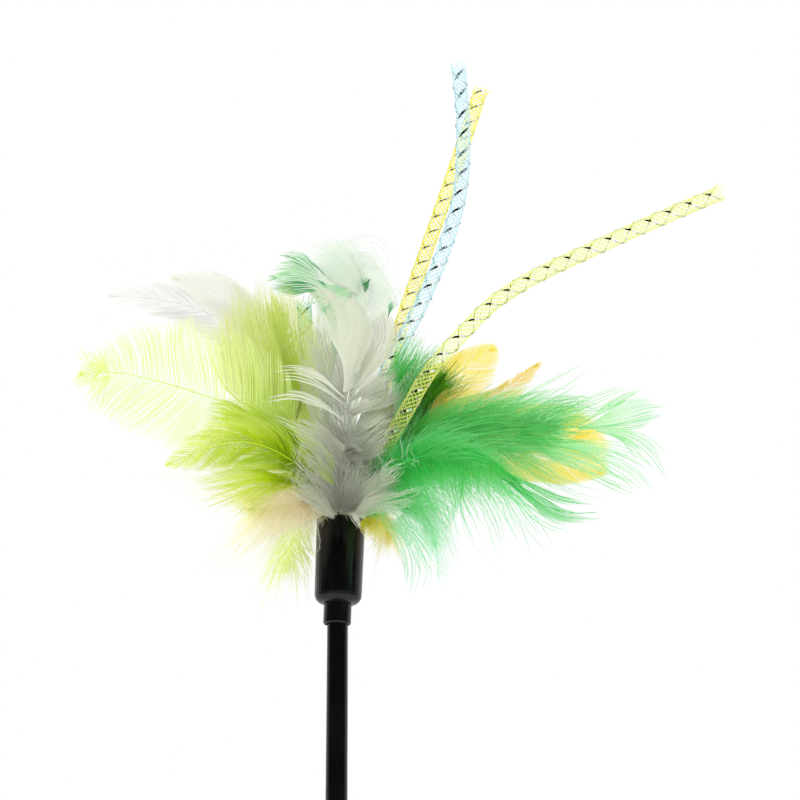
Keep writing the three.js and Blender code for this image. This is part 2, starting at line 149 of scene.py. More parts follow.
# How the barbs of a kind of feather grow. Lengths in mm, angles in degrees.
# spacing: between barbs at the shaft; cover: ribbon width over spacing; clump: barbs that cling together;
# gather: how far a clump draws in at its ends; lean and lift: how clumps stray along and off the vane;
# angle: between barb and shaft at the root and tip; bow: how much a barb bends towards the tip;
# ragged: share of a barb's length that varies; wave: wander of single barbs; longer: reach past the outline;
# hairs and hair: barbules of a barb and their length; start and stop: where the vane begins and ends.
STIFF = {
    "spacing": 0.1, "cover": 1.3, "clump": (14, 60), "gather": 0.14, "lean": 0.25, "lift": 0.3,
    "angle": (56, 30), "bow": 0.3, "ragged": 0.05, "wave": 0.08, "longer": 1.02, "hairs": 0, "start": 0.26,
}
LOOSE = {
    "spacing": 0.1, "cover": 0.8, "clump": (8, 44), "gather": 0.4, "lean": 0.6, "lift": 0.7,
    "angle": (62, 36), "bow": 0.3, "ragged": 0.12, "wave": 0.3, "longer": 1.06, "hairs": 0, "start": 0.2,
}
FLUFFY = {
    "spacing": 0.11, "cover": 0.6, "clump": (1, 1), "gather": 0, "lean": 2.6, "lift": 3.2,
    "angle": (66, 34), "bow": 0.5, "ragged": 0.62, "wave": 2.2, "longer": 1.25, "hairs": 78, "hair": 1.5,
    "start": 0.08, "stop": 0.9,
}
DOWNY = {
    "spacing": 0.05, "cover": 1.2, "clump": (1, 1), "gather": 0, "lean": 2.6, "lift": 4.0,
    "angle": (56, 26), "bow": 0.3, "ragged": 0.62, "wave": 2.6, "longer": 1.5, "hairs": 60, "hair": 1.4,
    "start": 0.04, "stop": 0.9,
}

# Each feather: where its root stands, how its blade twists in degrees and how far it cups, its shaft and
# its reach to both sides, its kind, its down at the base (strands, longest in mm), its colours (root,
# middle, tip, edge, streak, down, shaft) and the light that goes through, where it differs.
# Roots, twist and cupping are the CAD blade's. Most shafts and reaches are set to the photograph more
# closely than the CAD blades are, and their lines lie up to 7 mm from the blades' lines.
FEATHERS = {
    "white_front": {
        "root": outer(270), "through": 0.4, "twist": -12, "cupping": 0.15, "slot": "feather_white",
        "shaft": [
            (0, -12.5, 7), (0.5, -19.5, 18), (1.5, -24, 27.5), (2.5, -21.5, 38), (2, -17.5, 48.5),
            (1, -13, 55),
        ],
        "right": (0.6, 5, 12, 13, 4, 0.6, 0.5, 0.4), "left": (0.6, 4, 8, 9, 3, 0.6, 0.5, 0.4),
        "kind": {
            **STIFF, "angle": (50, 28), "spacing": 0.16, "cover": 0.8, "ragged": 0.5, "clump": (5, 18),
            "gather": 0.9, "lean": 1.2,
        },
        "down": (760, 12),
        # Greys, darkest at the root, for a white feather: painted shade where its layers and its down shade
        # the base
        "colors": ("#8c8e84", "#c4c7b6", "#e1e4d4", "#d9dcca", "#b4b8a8", "#c6c4c1", "#dcdcd2"),
    },
    "lime_long": {
        "root": outer(198), "twist": 14, "cupping": 0.12, "slot": "feather_pale_lime",
        "shaft": [
            (-6, -6.5, 10.5), (-13, -11, 19), (-23.8, -14, 23.3), (-33, -16, 26), (-45, -17, 29.2),
            (-56, -13.5, 32.2), (-67, -8, 33),
        ],
        "right": (0.6, 3, 10, 20, 23, 22, 16, 6), "left": (0.6, 2, 8, 15, 17, 16, 12, 6),
        "kind": {**LOOSE, "angle": (84, 50), "bow": 0.15, "clump": (10, 40), "gather": 0.65},
        "down": (120, 9),
        "colors": ("#d4ea68", "#f0fab8", "#eaf89c", "#f8fddc", "#dcf07c", "#eef2c4", "#b4d81c"),
    },
    "lime_upright": {
        "root": inner(182), "twist": 0, "cupping": 0.08, "slot": "feather_lime",
        "shaft": [(-5, -0.5, 11), (-11, 0, 24), (-15.5, 1.5, 36), (-18.5, 3, 48), (-20, 4, 59)],
        "right": (0.5, 2, 6, 8, 6, 2, 0.3, 0.2), "left": (0.5, 2, 6, 8, 6, 2, 0.3, 0.2),
        "kind": {**LOOSE, "angle": (30, 20), "ragged": 0.16}, "down": (160, 9),
        "colors": ("#b0cc30", "#ccdc60", "#e0e494", "#eef0ba", "#c4dc50", "#e4ecb0", "#ccd890"),
    },
    "lime_short": {
        "root": outer(246), "twist": -22, "cupping": 0.2, "slot": "feather_lime",
        "shaft": [
            (-5.5, -8.4, 6), (-14, -19.5, 11), (-23.5, -25, 12.5), (-32.5, -28, 9.5), (-42, -26.5, 5.5),
        ],
        "right": (0.6, 2.5, 7, 9, 8, 6.5, 5, 2.5), "left": (0.6, 2.5, 7, 8, 8, 7, 5, 2.5),
        "kind": {**LOOSE, "angle": (34, 22), "wave": 0.8, "ragged": 0.3}, "down": (260, 11),
        "colors": ("#8cb400", "#d0e41c", "#e4ee4c", "#f4f8ac", "#b4d000", "#dce894", "#b0d010"),
    },
    "white_wisp_low": {
        "root": outer(150), "twist": 20, "cupping": -0.2, "slot": "feather_white",
        "shaft": [
            (-7, 7, 14.5), (-15, 14, 33), (-22, 19.5, 45), (-29.4, 23, 54.7), (-39, 25, 61),
            (-52, 24.5, 63.8), (-65, 22, 63.4),
        ],
        "right": (0.5, 2, 4, 5, 5, 5.5, 5, 3), "left": (0.5, 2, 4, 6, 8, 9, 7, 3),
        "kind": {**LOOSE, "angle": (42, 24), "cover": 1.1}, "down": (120, 8),
        "colors": ("#e2e2dc", "#ececea", "#f1f1ef", "#f5f5f3", "#d8d8d4", "#eeeee8", "#ccccc8"),
    },
    "white_wisp_high": {
        "root": inner(142), "twist": 10, "cupping": -0.1, "slot": "feather_white",
        "shaft": [
            (-5, 4, 12.5), (-12, 8.5, 30.5), (-20.5, 12.5, 46.5), (-28, 15.5, 57), (-36, 17, 64),
            (-47.5, 15.5, 67),
        ],
        "right": (0.5, 0.8, 2, 5, 6.5, 6.5, 5.5, 3), "left": (0.5, 1.5, 3, 5, 6, 6.5, 5, 2.5),
        "kind": {**STIFF, "angle": (40, 24)}, "down": (120, 8),
        "colors": ("#e8e6dc", "#e9e9e3", "#edede8", "#f2f1ea", "#dcdcd6", "#f0eee6", "#d0d0ca"),
    },
    "cream_down": {
        "root": outer(222), "twist": -12, "cupping": 0.15, "slot": "feather_cream",
        "shaft": [(-4.3, -4.2, 3), (-9.5, -7, 3), (-17, -9.5, 1.5), (-25, -11, -2)],
        "right": (0.5, 5, 10, 13, 14, 12, 8, 4), "left": (0.5, 3, 8, 10, 11, 10, 8, 4),
        "kind": {**DOWNY, "hairs": 44}, "down": (420, 17),
        "colors": ("#fae8da", "#f8f0de", "#f8f8d4", "#fbf8e8", "#f4f2c4", "#faf2e2", "#f6ecd8"),
    },
    "lime_down": {
        "root": outer(174), "twist": 35, "cupping": 0.1, "slot": "feather_pale_lime",
        "shaft": [(-4.8, 1.1, 3), (-9.5, 4, 2), (-12.5, 5.5, -6), (-13.5, 4, -15)],
        "right": (0.4, 3, 6, 8, 9, 8, 6, 4), "left": (0.4, 2, 4, 6, 7, 7, 6, 4),
        "kind": {**DOWNY, "hairs": 16, "hair": 1.0, "spacing": 0.13}, "down": (130, 11),
        "colors": ("#f4f8bc", "#f0f8b0", "#f4fac0", "#f8fcdc", "#e4f488", "#f4f8cc", "#e0f084"),
    },
    "emerald_curl": {
        "root": outer(126), "twist": 22, "cupping": -0.2, "slot": "feather_emerald",
        "shaft": [
            (-4.5, 12, 18.5), (-5.5, 18, 36), (-4.3, 24, 54), (-8.1, 29, 67), (-14.2, 31, 72.6),
            (-23, 32, 73),
        ],
        "right": (0.4, 0.5, 0.7, 0.8, 1, 1.4, 2.6, 2), "left": (0.4, 0.5, 0.7, 0.8, 1, 1.4, 2.6, 2),
        "kind": {**LOOSE, "angle": (44, 28), "cover": 1.1}, "down": (120, 8),
        "colors": ("#2c9c58", "#8cd09c", "#c0e6be", "#d6eecb", "#50b078", "#d8f0d8", "#a0d8b0"),
    },
    "mint_arch": {
        "root": outer(102), "twist": -24, "cupping": -0.25, "slot": "feather_mint",
        "shaft": [
            (-0.5, 16.5, 21), (-2.5, 28, 39.5), (-4, 33, 57.5), (-4.5, 38, 71), (-3, 42, 79), (2, 43, 82),
            (7, 41, 79),
        ],
        "right": (0.4, 1, 4, 7, 9, 10, 8, 5), "left": (0.4, 1, 3, 5, 6, 6, 5, 3),
        "kind": {**LOOSE, "angle": (40, 22), "cover": 1.1, "ragged": 0.2}, "down": (120, 9),
        "colors": ("#eef0e8", "#f0f3ec", "#eff3ec", "#eaf3ea", "#e0eadf", "#eef2e8", "#e2eadc"),
    },
    "green_long": {
        "root": outer(6), "twist": 10, "cupping": 0.12, "slot": "feather_green",
        "shaft": [
            (6.5, -1, 8), (12, -3.5, 12.8), (21, -5.5, 17.5), (32.5, -8.5, 20.5), (47, -8.5, 22.7),
            (62, -5.5, 24.3), (72.4, -3, 26.8), (79.8, 0, 29.7),
        ],
        "right": (0.5, 5, 12, 15, 17, 18, 14, 8), "left": (0.5, 3, 7, 10, 11, 10, 8, 6),
        "kind": {**FLUFFY, "stop": 0.68, "hairs": 56}, "down": (110, 11),
        "colors": ("#60d46c", "#44d058", "#c8f2c8", "#b0eeb8", "#2cc044", "#e2efe4", "#70d888"),
    },
    "green_curl": {
        "root": outer(294), "twist": -26, "cupping": 0.25, "slot": "feather_green",
        "shaft": [
            (5.5, -8.4, 6), (12.5, -18, 9), (21.5, -24, 11), (32, -26.5, 10.5), (40, -27, 6), (46, -27, 1),
            (53, -26.5, -2.6), (62.5, -24, -2),
        ],
        "right": (0.6, 7, 16, 20, 21, 16, 8, 2), "left": (0.6, 4, 9, 11, 9, 5, 2, 1),
        "kind": {**FLUFFY, "angle": (76, 44), "stop": 0.72, "hairs": 34},
        "down": (110, 11),
        "colors": ("#b0f0bc", "#54d468", "#64dc78", "#b4f2be", "#30c04c", "#e2efe4", "#30b84c"),
    },
    "gold_broad": {
        "root": outer(30), "twist": -14, "cupping": -0.15, "slot": "feather_gold",
        "shaft": [
            (6.5, 6.2, 9), (14, 11, 15.5), (26.5, 15.5, 21), (42, 17, 22.4), (55, 17, 20.6),
            (66.5, 14, 17.6),
        ],
        "right": (0.5, 2, 4, 6, 8, 8, 7, 5), "left": (0.5, 2, 3.5, 6, 11, 15, 16, 12),
        "kind": STIFF, "down": (120, 9),
        "colors": ("#f8ec84", "#faee82", "#fbee78", "#fdf4a0", "#f6e04c", "#f8f0cc", "#f0dc58"),
    },
    "gold_round": {
        "root": outer(78), "twist": 20, "cupping": -0.25, "slot": "feather_gold",
        "shaft": [
            (3.5, 13.5, 17.5), (11.5, 22.5, 31), (21.5, 29.5, 42.5), (30.5, 31, 49.5), (38.2, 32, 56),
        ],
        "right": (0.5, 1, 3, 6, 8, 8.5, 8, 6), "left": (0.5, 0.8, 3, 5, 6, 6, 5, 4),
        "kind": STIFF, "down": (100, 9),
        "colors": ("#e0b810", "#faee84", "#fbf090", "#fcf4ac", "#f4e05c", "#f8f0cc", "#f4d860"),
    },
    "gold_narrow": {
        "root": outer(54), "twist": 18, "cupping": -0.1, "slot": "feather_gold",
        "shaft": [(6.5, 10, 13.5), (14, 17, 24.5), (25, 21.5, 34), (38, 24, 40.5), (49.7, 24, 49.6)],
        "right": (0.5, 1, 3, 4, 5, 5, 4, 2), "left": (0.5, 1, 2, 2.5, 2.5, 2, 1.5, 0.8),
        "kind": {**LOOSE, "angle": (40, 22)}, "down": (80, 8),
        "colors": ("#f0d870", "#f2dc6c", "#f4e078", "#faeeb0", "#e6c440", "#f4e8b8", "#dcb030"),
    },
    "moss": {
        "root": inner(0), "twist": 8, "cupping": -0.08, "slot": "feather_moss",
        "shaft": [(6.5, 3, 13.5), (12.5, 4, 22), (18, 4, 30), (23, 3.5, 37), (28, 3, 43.5)],
        "right": (0.5, 5, 10, 11, 11, 9, 7, 4), "left": (0.5, 5, 10, 11, 11, 9, 7, 4),
        "kind": {**FLUFFY, "hair": 1.2, "spacing": 0.06, "hairs": 60}, "down": (300, 9),
        "colors": ("#2c6002", "#3c8408", "#58ac20", "#7cc030", "#144400", "#84a464", "#284c02"),
    },
    "green_down": {
        "root": outer(318), "twist": 28, "cupping": 0.2, "slot": "feather_green",
        "shaft": [(4.9, -4.5, 3), (12.5, -10, 3.5), (20, -13.5, -0.5), (23.5, -15, -9), (24.5, -15, -18)],
        "right": (0.5, 3, 4, 4, 3.5, 3.5, 3, 3), "left": (0.5, 4, 7, 7, 6, 5, 4, 3),
        "kind": {**FLUFFY, "hairs": 18, "stop": 0.8, "angle": (50, 26)}, "down": (110, 10),
        "colors": ("#a8ecb8", "#b4f0c4", "#ccf6d8", "#def8e6", "#8ce0a8", "#dcf4e4", "#84d8a0"),
    },
    "gold_down": {
        "root": outer(342), "twist": -20, "cupping": 0.1, "slot": "feather_gold",
        "shaft": [(4.8, -2, 2.4), (8.5, -2.9, 1), (11, -4, -2.5), (12.5, -4, -8)],
        "right": (0.4, 1, 3, 4, 4, 4, 3, 2), "left": (0.4, 1.5, 3, 4, 4, 3.5, 3, 2),
        "kind": {**DOWNY, "hairs": 20, "spacing": 0.07}, "down": (110, 8),
        "colors": ("#e4e438", "#f6ec78", "#fbf4b0", "#fefce4", "#ecdc38", "#fcf6dc", "#f0d830"),
    },
}

# Loose locks of barbs on a feather. Each: its place on the feather's colours, its barbs, half its width
# in mm, the share of the length that varies, the barbules of a barb, and the line that it follows. The
# line's points are picked on the photograph, each at a depth that is a guess, or are in mm.
LOCKS = {
    # Locks of low tone take the white feather's darkest greys, the painted shade of its base
    "white_front": (
        (0.9, 200, 5.4, 0.05, 0, at(345, 392, -24), at(352, 352, -26), at(346, 318, -25),
         at(328, 292, -20)),
        (0.9, 170, 3.9, 0.06, 0, at(350, 395, -23), at(371, 362, -24), at(383, 335, -22),
         at(379, 305, -18)),
        (0.1, 90, 6, 0.5, 24, (0.8, -22, 12), (-3, -23, 22), (-5, -24, 31), (-7, -22, 40)),
        (0.9, 7, 1.1, 0.3, 0, (0.5, -24, 24.5), (-6, -26, 29.2), (-12, -27, 30.7), (-18.4, -27, 29.6)),
        (0.9, 6, 1, 0.3, 0, (0.4, -24, 23), (-6.5, -27, 27), (-12.7, -28, 28.4), (-20, -28, 26.2)),
        (0.85, 9, 1.4, 0.3, 0, (0.3, -24, 19), (-5.8, -28, 22), (-12.5, -29, 23.4), (-20.6, -29, 21.1)),
        (0.5, 18, 2.6, 0.5, 14, at(343, 452, -22), at(318, 434, -26), at(296, 424, -28), at(272, 412, -28)),
        (0.2, 34, 4.6, 0.6, 34, at(343, 470, -20), at(322, 450, -25), at(304, 436, -27), at(284, 424, -28)),
        (0.1, 34, 4.6, 0.6, 40, at(342, 488, -18), at(324, 468, -24), at(306, 452, -26), at(288, 440, -27)),
        (0.3, 50, 4, 0.5, 40, at(348, 475, -19), at(368, 456, -12), at(388, 438, -5), at(402, 420, -3)),
        (0.2, 50, 4, 0.5, 50, at(347, 490, -18), at(366, 470, -14), at(384, 452, -5), at(396, 436, -3)),
        (0.5, 70, 3, 0.5, 60, at(352, 512, -14), at(368, 492, -20), at(385, 478, -20), at(397, 463, -16)),
        (0.7, 44, 3, 0.6, 50, at(352, 514, -14), at(375, 503, -22), at(402, 498, -25), at(432, 486, -26)),
        (0.3, 50, 2.6, 0.5, 60, at(335, 510, -14), at(318, 490, -20), at(302, 476, -23), at(288, 466, -23)),
        (0.4, 40, 2.4, 0.6, 50, at(335, 513, -14), at(322, 505, -20), at(306, 494, -23), at(284, 490, -24)),
        (0.1, 50, 3, 0.5, 60, at(345, 512, -14), at(351, 490, -20), at(359, 468, -20), at(366, 448, -18)),
        (0.1, 50, 3, 0.5, 60, at(341, 510, -14), at(333, 490, -20), at(324, 468, -23), at(311, 446, -23)),
        (0.8, 10, 1, 0.5, 20, at(348, 508, -13), at(354, 516, -17), at(359, 525, -19), at(357, 535, -19)),
        (0.5, 44, 2.6, 0.6, 60, at(372, 486, -10), at(390, 466, -8), at(409, 438, -6), at(436, 406, -6)),
        (0.6, 70, 3.2, 0.35, 0, at(352, 400, -21), at(368, 388, -14), at(384, 374, -7), at(399, 359, -3)),
        (0.5, 90, 4.4, 0.35, 0, at(352, 415, -21), at(371, 402, -14), at(388, 387, -6), at(404, 372, -3)),
        (0.4, 90, 4.6, 0.4, 0, at(352, 430, -21), at(371, 418, -14), at(389, 403, -5), at(403, 389, -3)),
        (0.3, 90, 4.6, 0.45, 16, at(350, 445, -20), at(368, 433, -13), at(386, 420, -5), at(399, 404, -3)),
        (0.2, 70, 4.6, 0.5, 30, at(349, 458, -20), at(366, 446, -12), at(382, 433, -5), at(395, 418, -3)),
        (0.3, 70, 5.6, 0.4, 20, at(341, 405, -15), at(329, 375, -12), at(319, 345, -8), at(311, 314, -4)),
        (0.4, 40, 2, 0.6, 60, at(330, 508, -10), at(312, 498, -16), at(300, 484, -20), at(296, 464, -22)),
        (0.6, 40, 2, 0.6, 60, at(358, 510, -10), at(376, 496, -16), at(392, 486, -20), at(412, 480, -22)),
        (0.4, 70, 4.4, 0.3, 20, at(338, 400, -12), at(331, 365, -10), at(324, 335, -6), at(321, 298, -4)),
        (0.9, 60, 2.6, 0.3, 10, at(338, 300, -6), at(328, 296, -5), at(317, 300, -5), at(308, 310, -4)),
        (0.6, 26, 2.4, 0.6, 50, at(372, 482, -16), at(384, 477, -22), at(396, 470, -24), at(410, 462, -24)),
    ),
    "lime_long": (
        (0.5, 12, 4.4, 0.2, 0, at(108, 367, -10), at(96, 367, -9), at(86, 369, -8), at(75, 374, -7)),
        (0.5, 6, 3.4, 0.4, 0, at(110, 375, -12), at(98, 386, -12), at(87, 400, -11), at(78, 413, -10)),
        (0.5, 5, 3.4, 0.5, 0, at(108, 372, -12), at(98, 360, -12), at(90, 348, -11), at(82, 338, -10)),
    ),
    "lime_upright": (
        (0.6, 180, 7, 0.1, 0, at(292, 430, -2), at(284, 385, -1), at(268, 335, 1), at(260, 272, 3)),
        (0.7, 150, 6, 0.1, 0, at(298, 420, 0), at(299, 380, 0), at(292, 335, 2), at(284, 274, 3)),
        (0.8, 160, 7, 0.12, 0, at(285, 430, -3), at(268, 385, -3), at(248, 340, -2), at(238, 274, 0)),
        (0.9, 60, 5, 0.2, 0, at(275, 430, -4), at(255, 400, -4), at(232, 360, -3), at(219, 302, -1)),
        (0.6, 120, 5.4, 0.3, 0, at(302, 430, 3), at(309, 390, 5), at(313, 350, 7), at(316, 302, 9)),
        (0.05, 60, 4, 0.3, 0, at(290, 430, -6), at(270, 410, -6), at(252, 385, -6), at(240, 355, -5)),
        (0.6, 40, 3.4, 0.4, 0, at(285, 345, 4), at(280, 325, 5), at(274, 305, 6), at(268, 284, 7)),
    ),
    "lime_short": (
        (0.2, 190, 4.6, 0.25, 0, (-6, -9, 6), (-15, -19, 10.5), (-27, -25, 9.8), (-41, -26, 4.7)),
        (0.4, 130, 4, 0.3, 0, (-6, -9, 8), (-17, -18, 15), (-27, -22, 18), (-35, -23, 17.6)),
        (0.5, 80, 3, 0.35, 0, (-8, -9, 6), (-20.5, -20, 5.7), (-28.6, -24, 3.2), (-37.6, -24, 0.9)),
        (0.05, 90, 4, 0.3, 12, (-6, -8, 6), (-12, -15, 12), (-17, -18, 17), (-24, -20, 22)),
        (0.7, 40, 3, 0.6, 40, at(290, 480, -12), at(255, 486, -18), at(222, 498, -22), at(192, 510, -23)),
        (0.6, 30, 3, 0.6, 40, at(292, 478, -12), at(265, 490, -16), at(242, 505, -18), at(222, 520, -19)),
        (0.02, 90, 4.5, 0.35, 0, at(300, 445, -18), at(284, 430, -18), at(266, 416, -18),
         at(248, 404, -18)),
        (0.25, 60, 3.5, 0.4, 0, at(290, 440, -18), at(262, 424, -19), at(238, 412, -19), at(212, 404, -18)),
        (0.02, 9, 2.6, 0.6, 14, at(336, 482, -16), at(328, 468, -27), at(320, 452, -30), at(312, 438, -30)),
        (0.3, 50, 3.2, 0.4, 0, at(262, 424, -19), at(240, 416, -19), at(222, 410, -19), at(200, 408, -18)),
    ),
    "emerald_curl": (
        (0.7, 30, 2.6, 0.25, 0, at(326, 287, 29), at(308, 268, 30), at(294, 260, 31), at(276, 256, 32)),
        (0.9, 30, 2.8, 0.3, 0, at(326, 291, 29), at(306, 276, 30), at(288, 270, 31), at(265, 274, 32)),
        (0.3, 46, 2.6, 0.25, 0, at(324, 293, 29), at(306, 287, 31), at(288, 287, 31), at(266, 289, 32)),
        (0.2, 40, 2.2, 0.25, 0, at(312, 288, 28), at(300, 286, 29), at(287, 287, 29), at(271, 285, 30)),
        (0.02, 24, 1.4, 0.1, 0, at(356, 295, 32), at(360, 289, 32), at(364, 284, 33), at(369, 276, 33)),
        (0.1, 8, 0.6, 0.2, 0, at(388, 318, 31), at(390, 310, 31), at(391, 305, 31), at(392, 299, 31)),
        (0.02, 20, 1.1, 0.1, 0, at(370, 279, 33), at(366, 285, 33), at(362, 290, 32), at(358, 296, 32)),
        (0.02, 5, 0.3, 0.1, 0, at(326, 276, 27), at(318, 268, 28), at(309, 261, 28), at(299, 257, 29)),
        (0.02, 5, 0.25, 0.1, 0, at(300, 262, 28), at(292, 257, 28), at(285, 256, 29), at(277, 255, 29)),
        (0.9, 9, 2.8, 0.25, 0, at(347, 290, 22), at(333, 291, 22), at(318, 299, 22), at(303, 313, 22)),
        (0.95, 7, 2.6, 0.3, 0, at(350, 292, 22), at(340, 300, 22), at(330, 312, 22), at(322, 328, 22)),
    ),
    "mint_arch": (
        (0.4, 70, 5, 0.3, 0, at(368, 305, 30), at(348, 276, 33), at(322, 258, 36), at(296, 249, 38)),
        (0.4, 50, 5, 0.4, 0, at(362, 298, 32), at(350, 268, 36), at(334, 248, 39), at(318, 236, 40)),
        (0.4, 80, 7, 0.3, 0, at(345, 330, 30), at(342, 300, 34), at(337, 275, 38), at(330, 250, 41)),
        (0.4, 70, 6, 0.35, 0, at(350, 335, 29), at(360, 305, 33), at(368, 280, 37), at(372, 258, 39)),
        (0.6, 14, 2.6, 0.3, 0, at(335, 300, 34), at(351, 260, 38), at(375, 266, 38), at(397, 316, 34)),
        (0.6, 9, 3, 0.35, 0, at(335, 295, 34), at(346, 248, 40), at(375, 246, 40), at(400, 300, 36)),
        (0.6, 30, 3, 0.25, 0, at(342, 305, 32), at(362, 274, 35), at(381, 288, 34), at(395, 328, 32)),
        (0.6, 40, 3.4, 0.3, 0, at(352, 345, 28), at(380, 310, 31), at(390, 296, 32), at(396, 318, 32)),
        (0.9, 7, 2.6, 0.3, 0, at(334, 286, 25), at(308, 270, 26), at(290, 262, 26), at(270, 263, 27)),
        (0.9, 8, 2.6, 0.3, 0, at(334, 296, 25), at(310, 283, 26), at(290, 280, 26), at(268, 284, 27)),
    ),
    "green_long": (
        (0.3, 90, 7.5, 0.5, 100, (7, -3, 7), (20, -9, 16), (40, -11, 22), (60, -8, 23)),
        (0.2, 60, 6.5, 0.5, 90, (7, -5, 6), (18, -11, 13), (36, -14, 19), (54, -10, 19)),
        (0.97, 22, 3.8, 0.15, 0, (58, -6, 23.4), (66.3, -4, 26.4), (73.4, -2, 29.6), (80.2, 0, 31.6)),
        (0.9, 9, 1, 0.3, 0, (58, -6, 24.5), (64, -4, 29), (70, -3, 33.2), (75, -2, 35.7)),
        (0.9, 10, 4, 0.5, 0, (30, -8, 22), (42, -7, 29), (53, -5, 36), (61, -3, 42)),
        (0.9, 10, 3, 0.5, 0, (45, -8, 23), (56, -6, 28), (66, -4, 33), (74, -3, 36)),
        (0.9, 28, 6, 0.6, 0, (40, -8, 20), (58, -7, 17), (70, -5, 14), (79, -4, 9)),
        (0.45, 90, 4.4, 0.4, 60, at(385, 470, 0), at(400, 425, 2), at(413, 382, 3), at(424, 332, 3)),
        (0.4, 80, 4, 0.5, 60, at(390, 465, 2), at(412, 412, 4), at(430, 375, 5), at(450, 336, 5)),
        (0.5, 50, 3, 0.5, 60, at(395, 440, 0), at(405, 400, 2), at(408, 370, 3), at(407, 345, 3)),
        (0.4, 110, 5, 0.35, 50, at(395, 462, -4), at(440, 425, -7), at(490, 410, -8), at(545, 400, -8)),
        (0.55, 100, 5, 0.35, 30, at(450, 430, -6), at(500, 418, -8), at(550, 408, -8), at(604, 400, -6)),
        (0.55, 90, 5, 0.4, 20, at(460, 440, -6), at(510, 435, -8), at(560, 432, -8), at(606, 436, -6)),
        (0.9, 16, 3.4, 0.5, 0, at(596, 430, -6), at(630, 438, -5), at(652, 455, -4), at(670, 482, -3)),
        (0.9, 14, 4, 0.6, 0, at(560, 445, -8), at(600, 452, -8), at(635, 470, -7), at(660, 498, -6)),
        (0.6, 70, 5, 0.4, 10, at(520, 432, -8), at(550, 420, -8), at(580, 412, -7), at(605, 415, -6)),
        (0.8, 50, 4, 0.4, 0, at(395, 420, 0), at(402, 392, 1), at(412, 362, 2), at(424, 335, 2)),
        (0.3, 60, 3, 0.5, 50, at(392, 380, 0), at(402, 362, 1), at(412, 345, 2), at(424, 326, 2)),
        (0.6, 26, 5, 0.5, 14, at(515, 430, -9), at(545, 426, -9), at(575, 428, -8), at(606, 436, -7)),
        (0.75, 16, 2.6, 0.5, 24, at(408, 375, 2), at(420, 362, 2), at(432, 350, 2), at(446, 336, 2)),
    ),
    "green_curl": (
        (0.6, 14, 0.9, 0.2, 0, at(500, 470, -26), at(530, 485, -27), at(560, 499, -27), at(602, 505, -25)),
        (0.5, 34, 1.9, 0.2, 0, at(496, 474, -26), at(530, 496, -27), at(560, 515, -26), at(604, 521, -24)),
        (0, 6, 1.6, 0.3, 0, at(490, 476, -26), at(522, 503, -27), at(548, 522, -26), at(578, 532, -25)),
        (0, 12, 5, 0.4, 8, at(420, 452, -22), at(436, 485, -25), at(450, 515, -26), at(462, 552, -25)),
        (0, 14, 5, 0.4, 8, at(445, 455, -23), at(465, 487, -26), at(483, 518, -26), at(498, 560, -25)),
        (0, 14, 5, 0.4, 8, at(470, 462, -24), at(492, 492, -26), at(512, 522, -26), at(530, 562, -25)),
        (0, 10, 4, 0.4, 6, at(492, 472, -25), at(512, 500, -26), at(532, 528, -26), at(552, 556, -25)),
        (0.4, 84, 4.2, 0.35, 70, at(380, 480, -12), at(420, 462, -20), at(465, 462, -24),
         at(515, 482, -26)),
        (0.5, 70, 5, 0.5, 70, at(392, 478, -14), at(425, 455, -24), at(458, 442, -28), at(498, 440, -29)),
        (0.3, 50, 4, 0.5, 70, at(400, 482, -14), at(440, 468, -24), at(470, 462, -28), at(500, 470, -29)),
        (0.42, 60, 3.2, 0.5, 30, at(392, 496, -15), at(410, 502, -17), at(432, 510, -18),
         at(456, 524, -17)),
        (0.42, 30, 1.6, 0.5, 30, at(366, 514, -12), at(373, 512, -15), at(380, 512, -16),
         at(388, 516, -16)),
    ),
    "gold_broad": (
        (0.7, 60, 4, 0.1, 0, at(558, 460, 16), at(576, 450, 15), at(594, 443, 14), at(613, 446, 13)),
        (0.6, 70, 5, 0.2, 0, at(520, 456, 17), at(550, 440, 16), at(578, 426, 15), at(603, 422, 14)),
    ),
    "gold_round": (
        (0, 60, 3, 0.3, 12, at(418, 432, 1), at(436, 416, 0), at(450, 400, -1), at(464, 386, 0)),
        (0.1, 50, 2.6, 0.3, 12, at(424, 436, 1), at(446, 416, 0), at(464, 402, -1), at(482, 392, 0)),
    ),
    "moss": (
        (0.3, 56, 4.4, 0.5, 50, at(395, 450, 2), at(425, 410, 4), at(448, 385, 4), at(466, 362, 3)),
        (0.1, 80, 3.6, 0.5, 60, at(395, 455, 0), at(415, 434, 2), at(432, 415, 3), at(446, 402, 3)),
        (0.9, 8, 3.4, 0.5, 8, at(420, 410, 2), at(440, 385, 2), at(458, 370, 2), at(476, 362, 2)),
        (0.02, 60, 2.6, 0.4, 40, at(402, 455, -12), at(411, 441, -12), at(420, 429, -12),
         at(432, 417, -11)),
    ),
    "green_down": (
        (0.8, 30, 5, 0.6, 14, at(398, 518, -14), at(424, 538, -15), at(440, 563, -15), at(448, 590, -15)),
        (0.8, 20, 4, 0.6, 14, at(394, 518, -14), at(410, 545, -15), at(417, 570, -15), at(412, 598, -15)),
        (0.3, 40, 3, 0.5, 30, at(398, 498, -15), at(412, 503, -17), at(428, 511, -18), at(448, 526, -17)),
    ),
    "gold_down": (
        (0, 40, 2.4, 0.5, 40, at(364, 519, -6), at(374, 526, -12), at(382, 534, -15), at(394, 548, -16)),
        (0.3, 22, 2.4, 0.6, 24, at(364, 519, -6), at(378, 522, -12), at(394, 528, -15), at(412, 536, -16)),
        (0, 40, 2, 0.4, 30, at(362, 522, -10), at(368, 527, -13), at(374, 534, -14), at(380, 546, -14)),
    ),
}

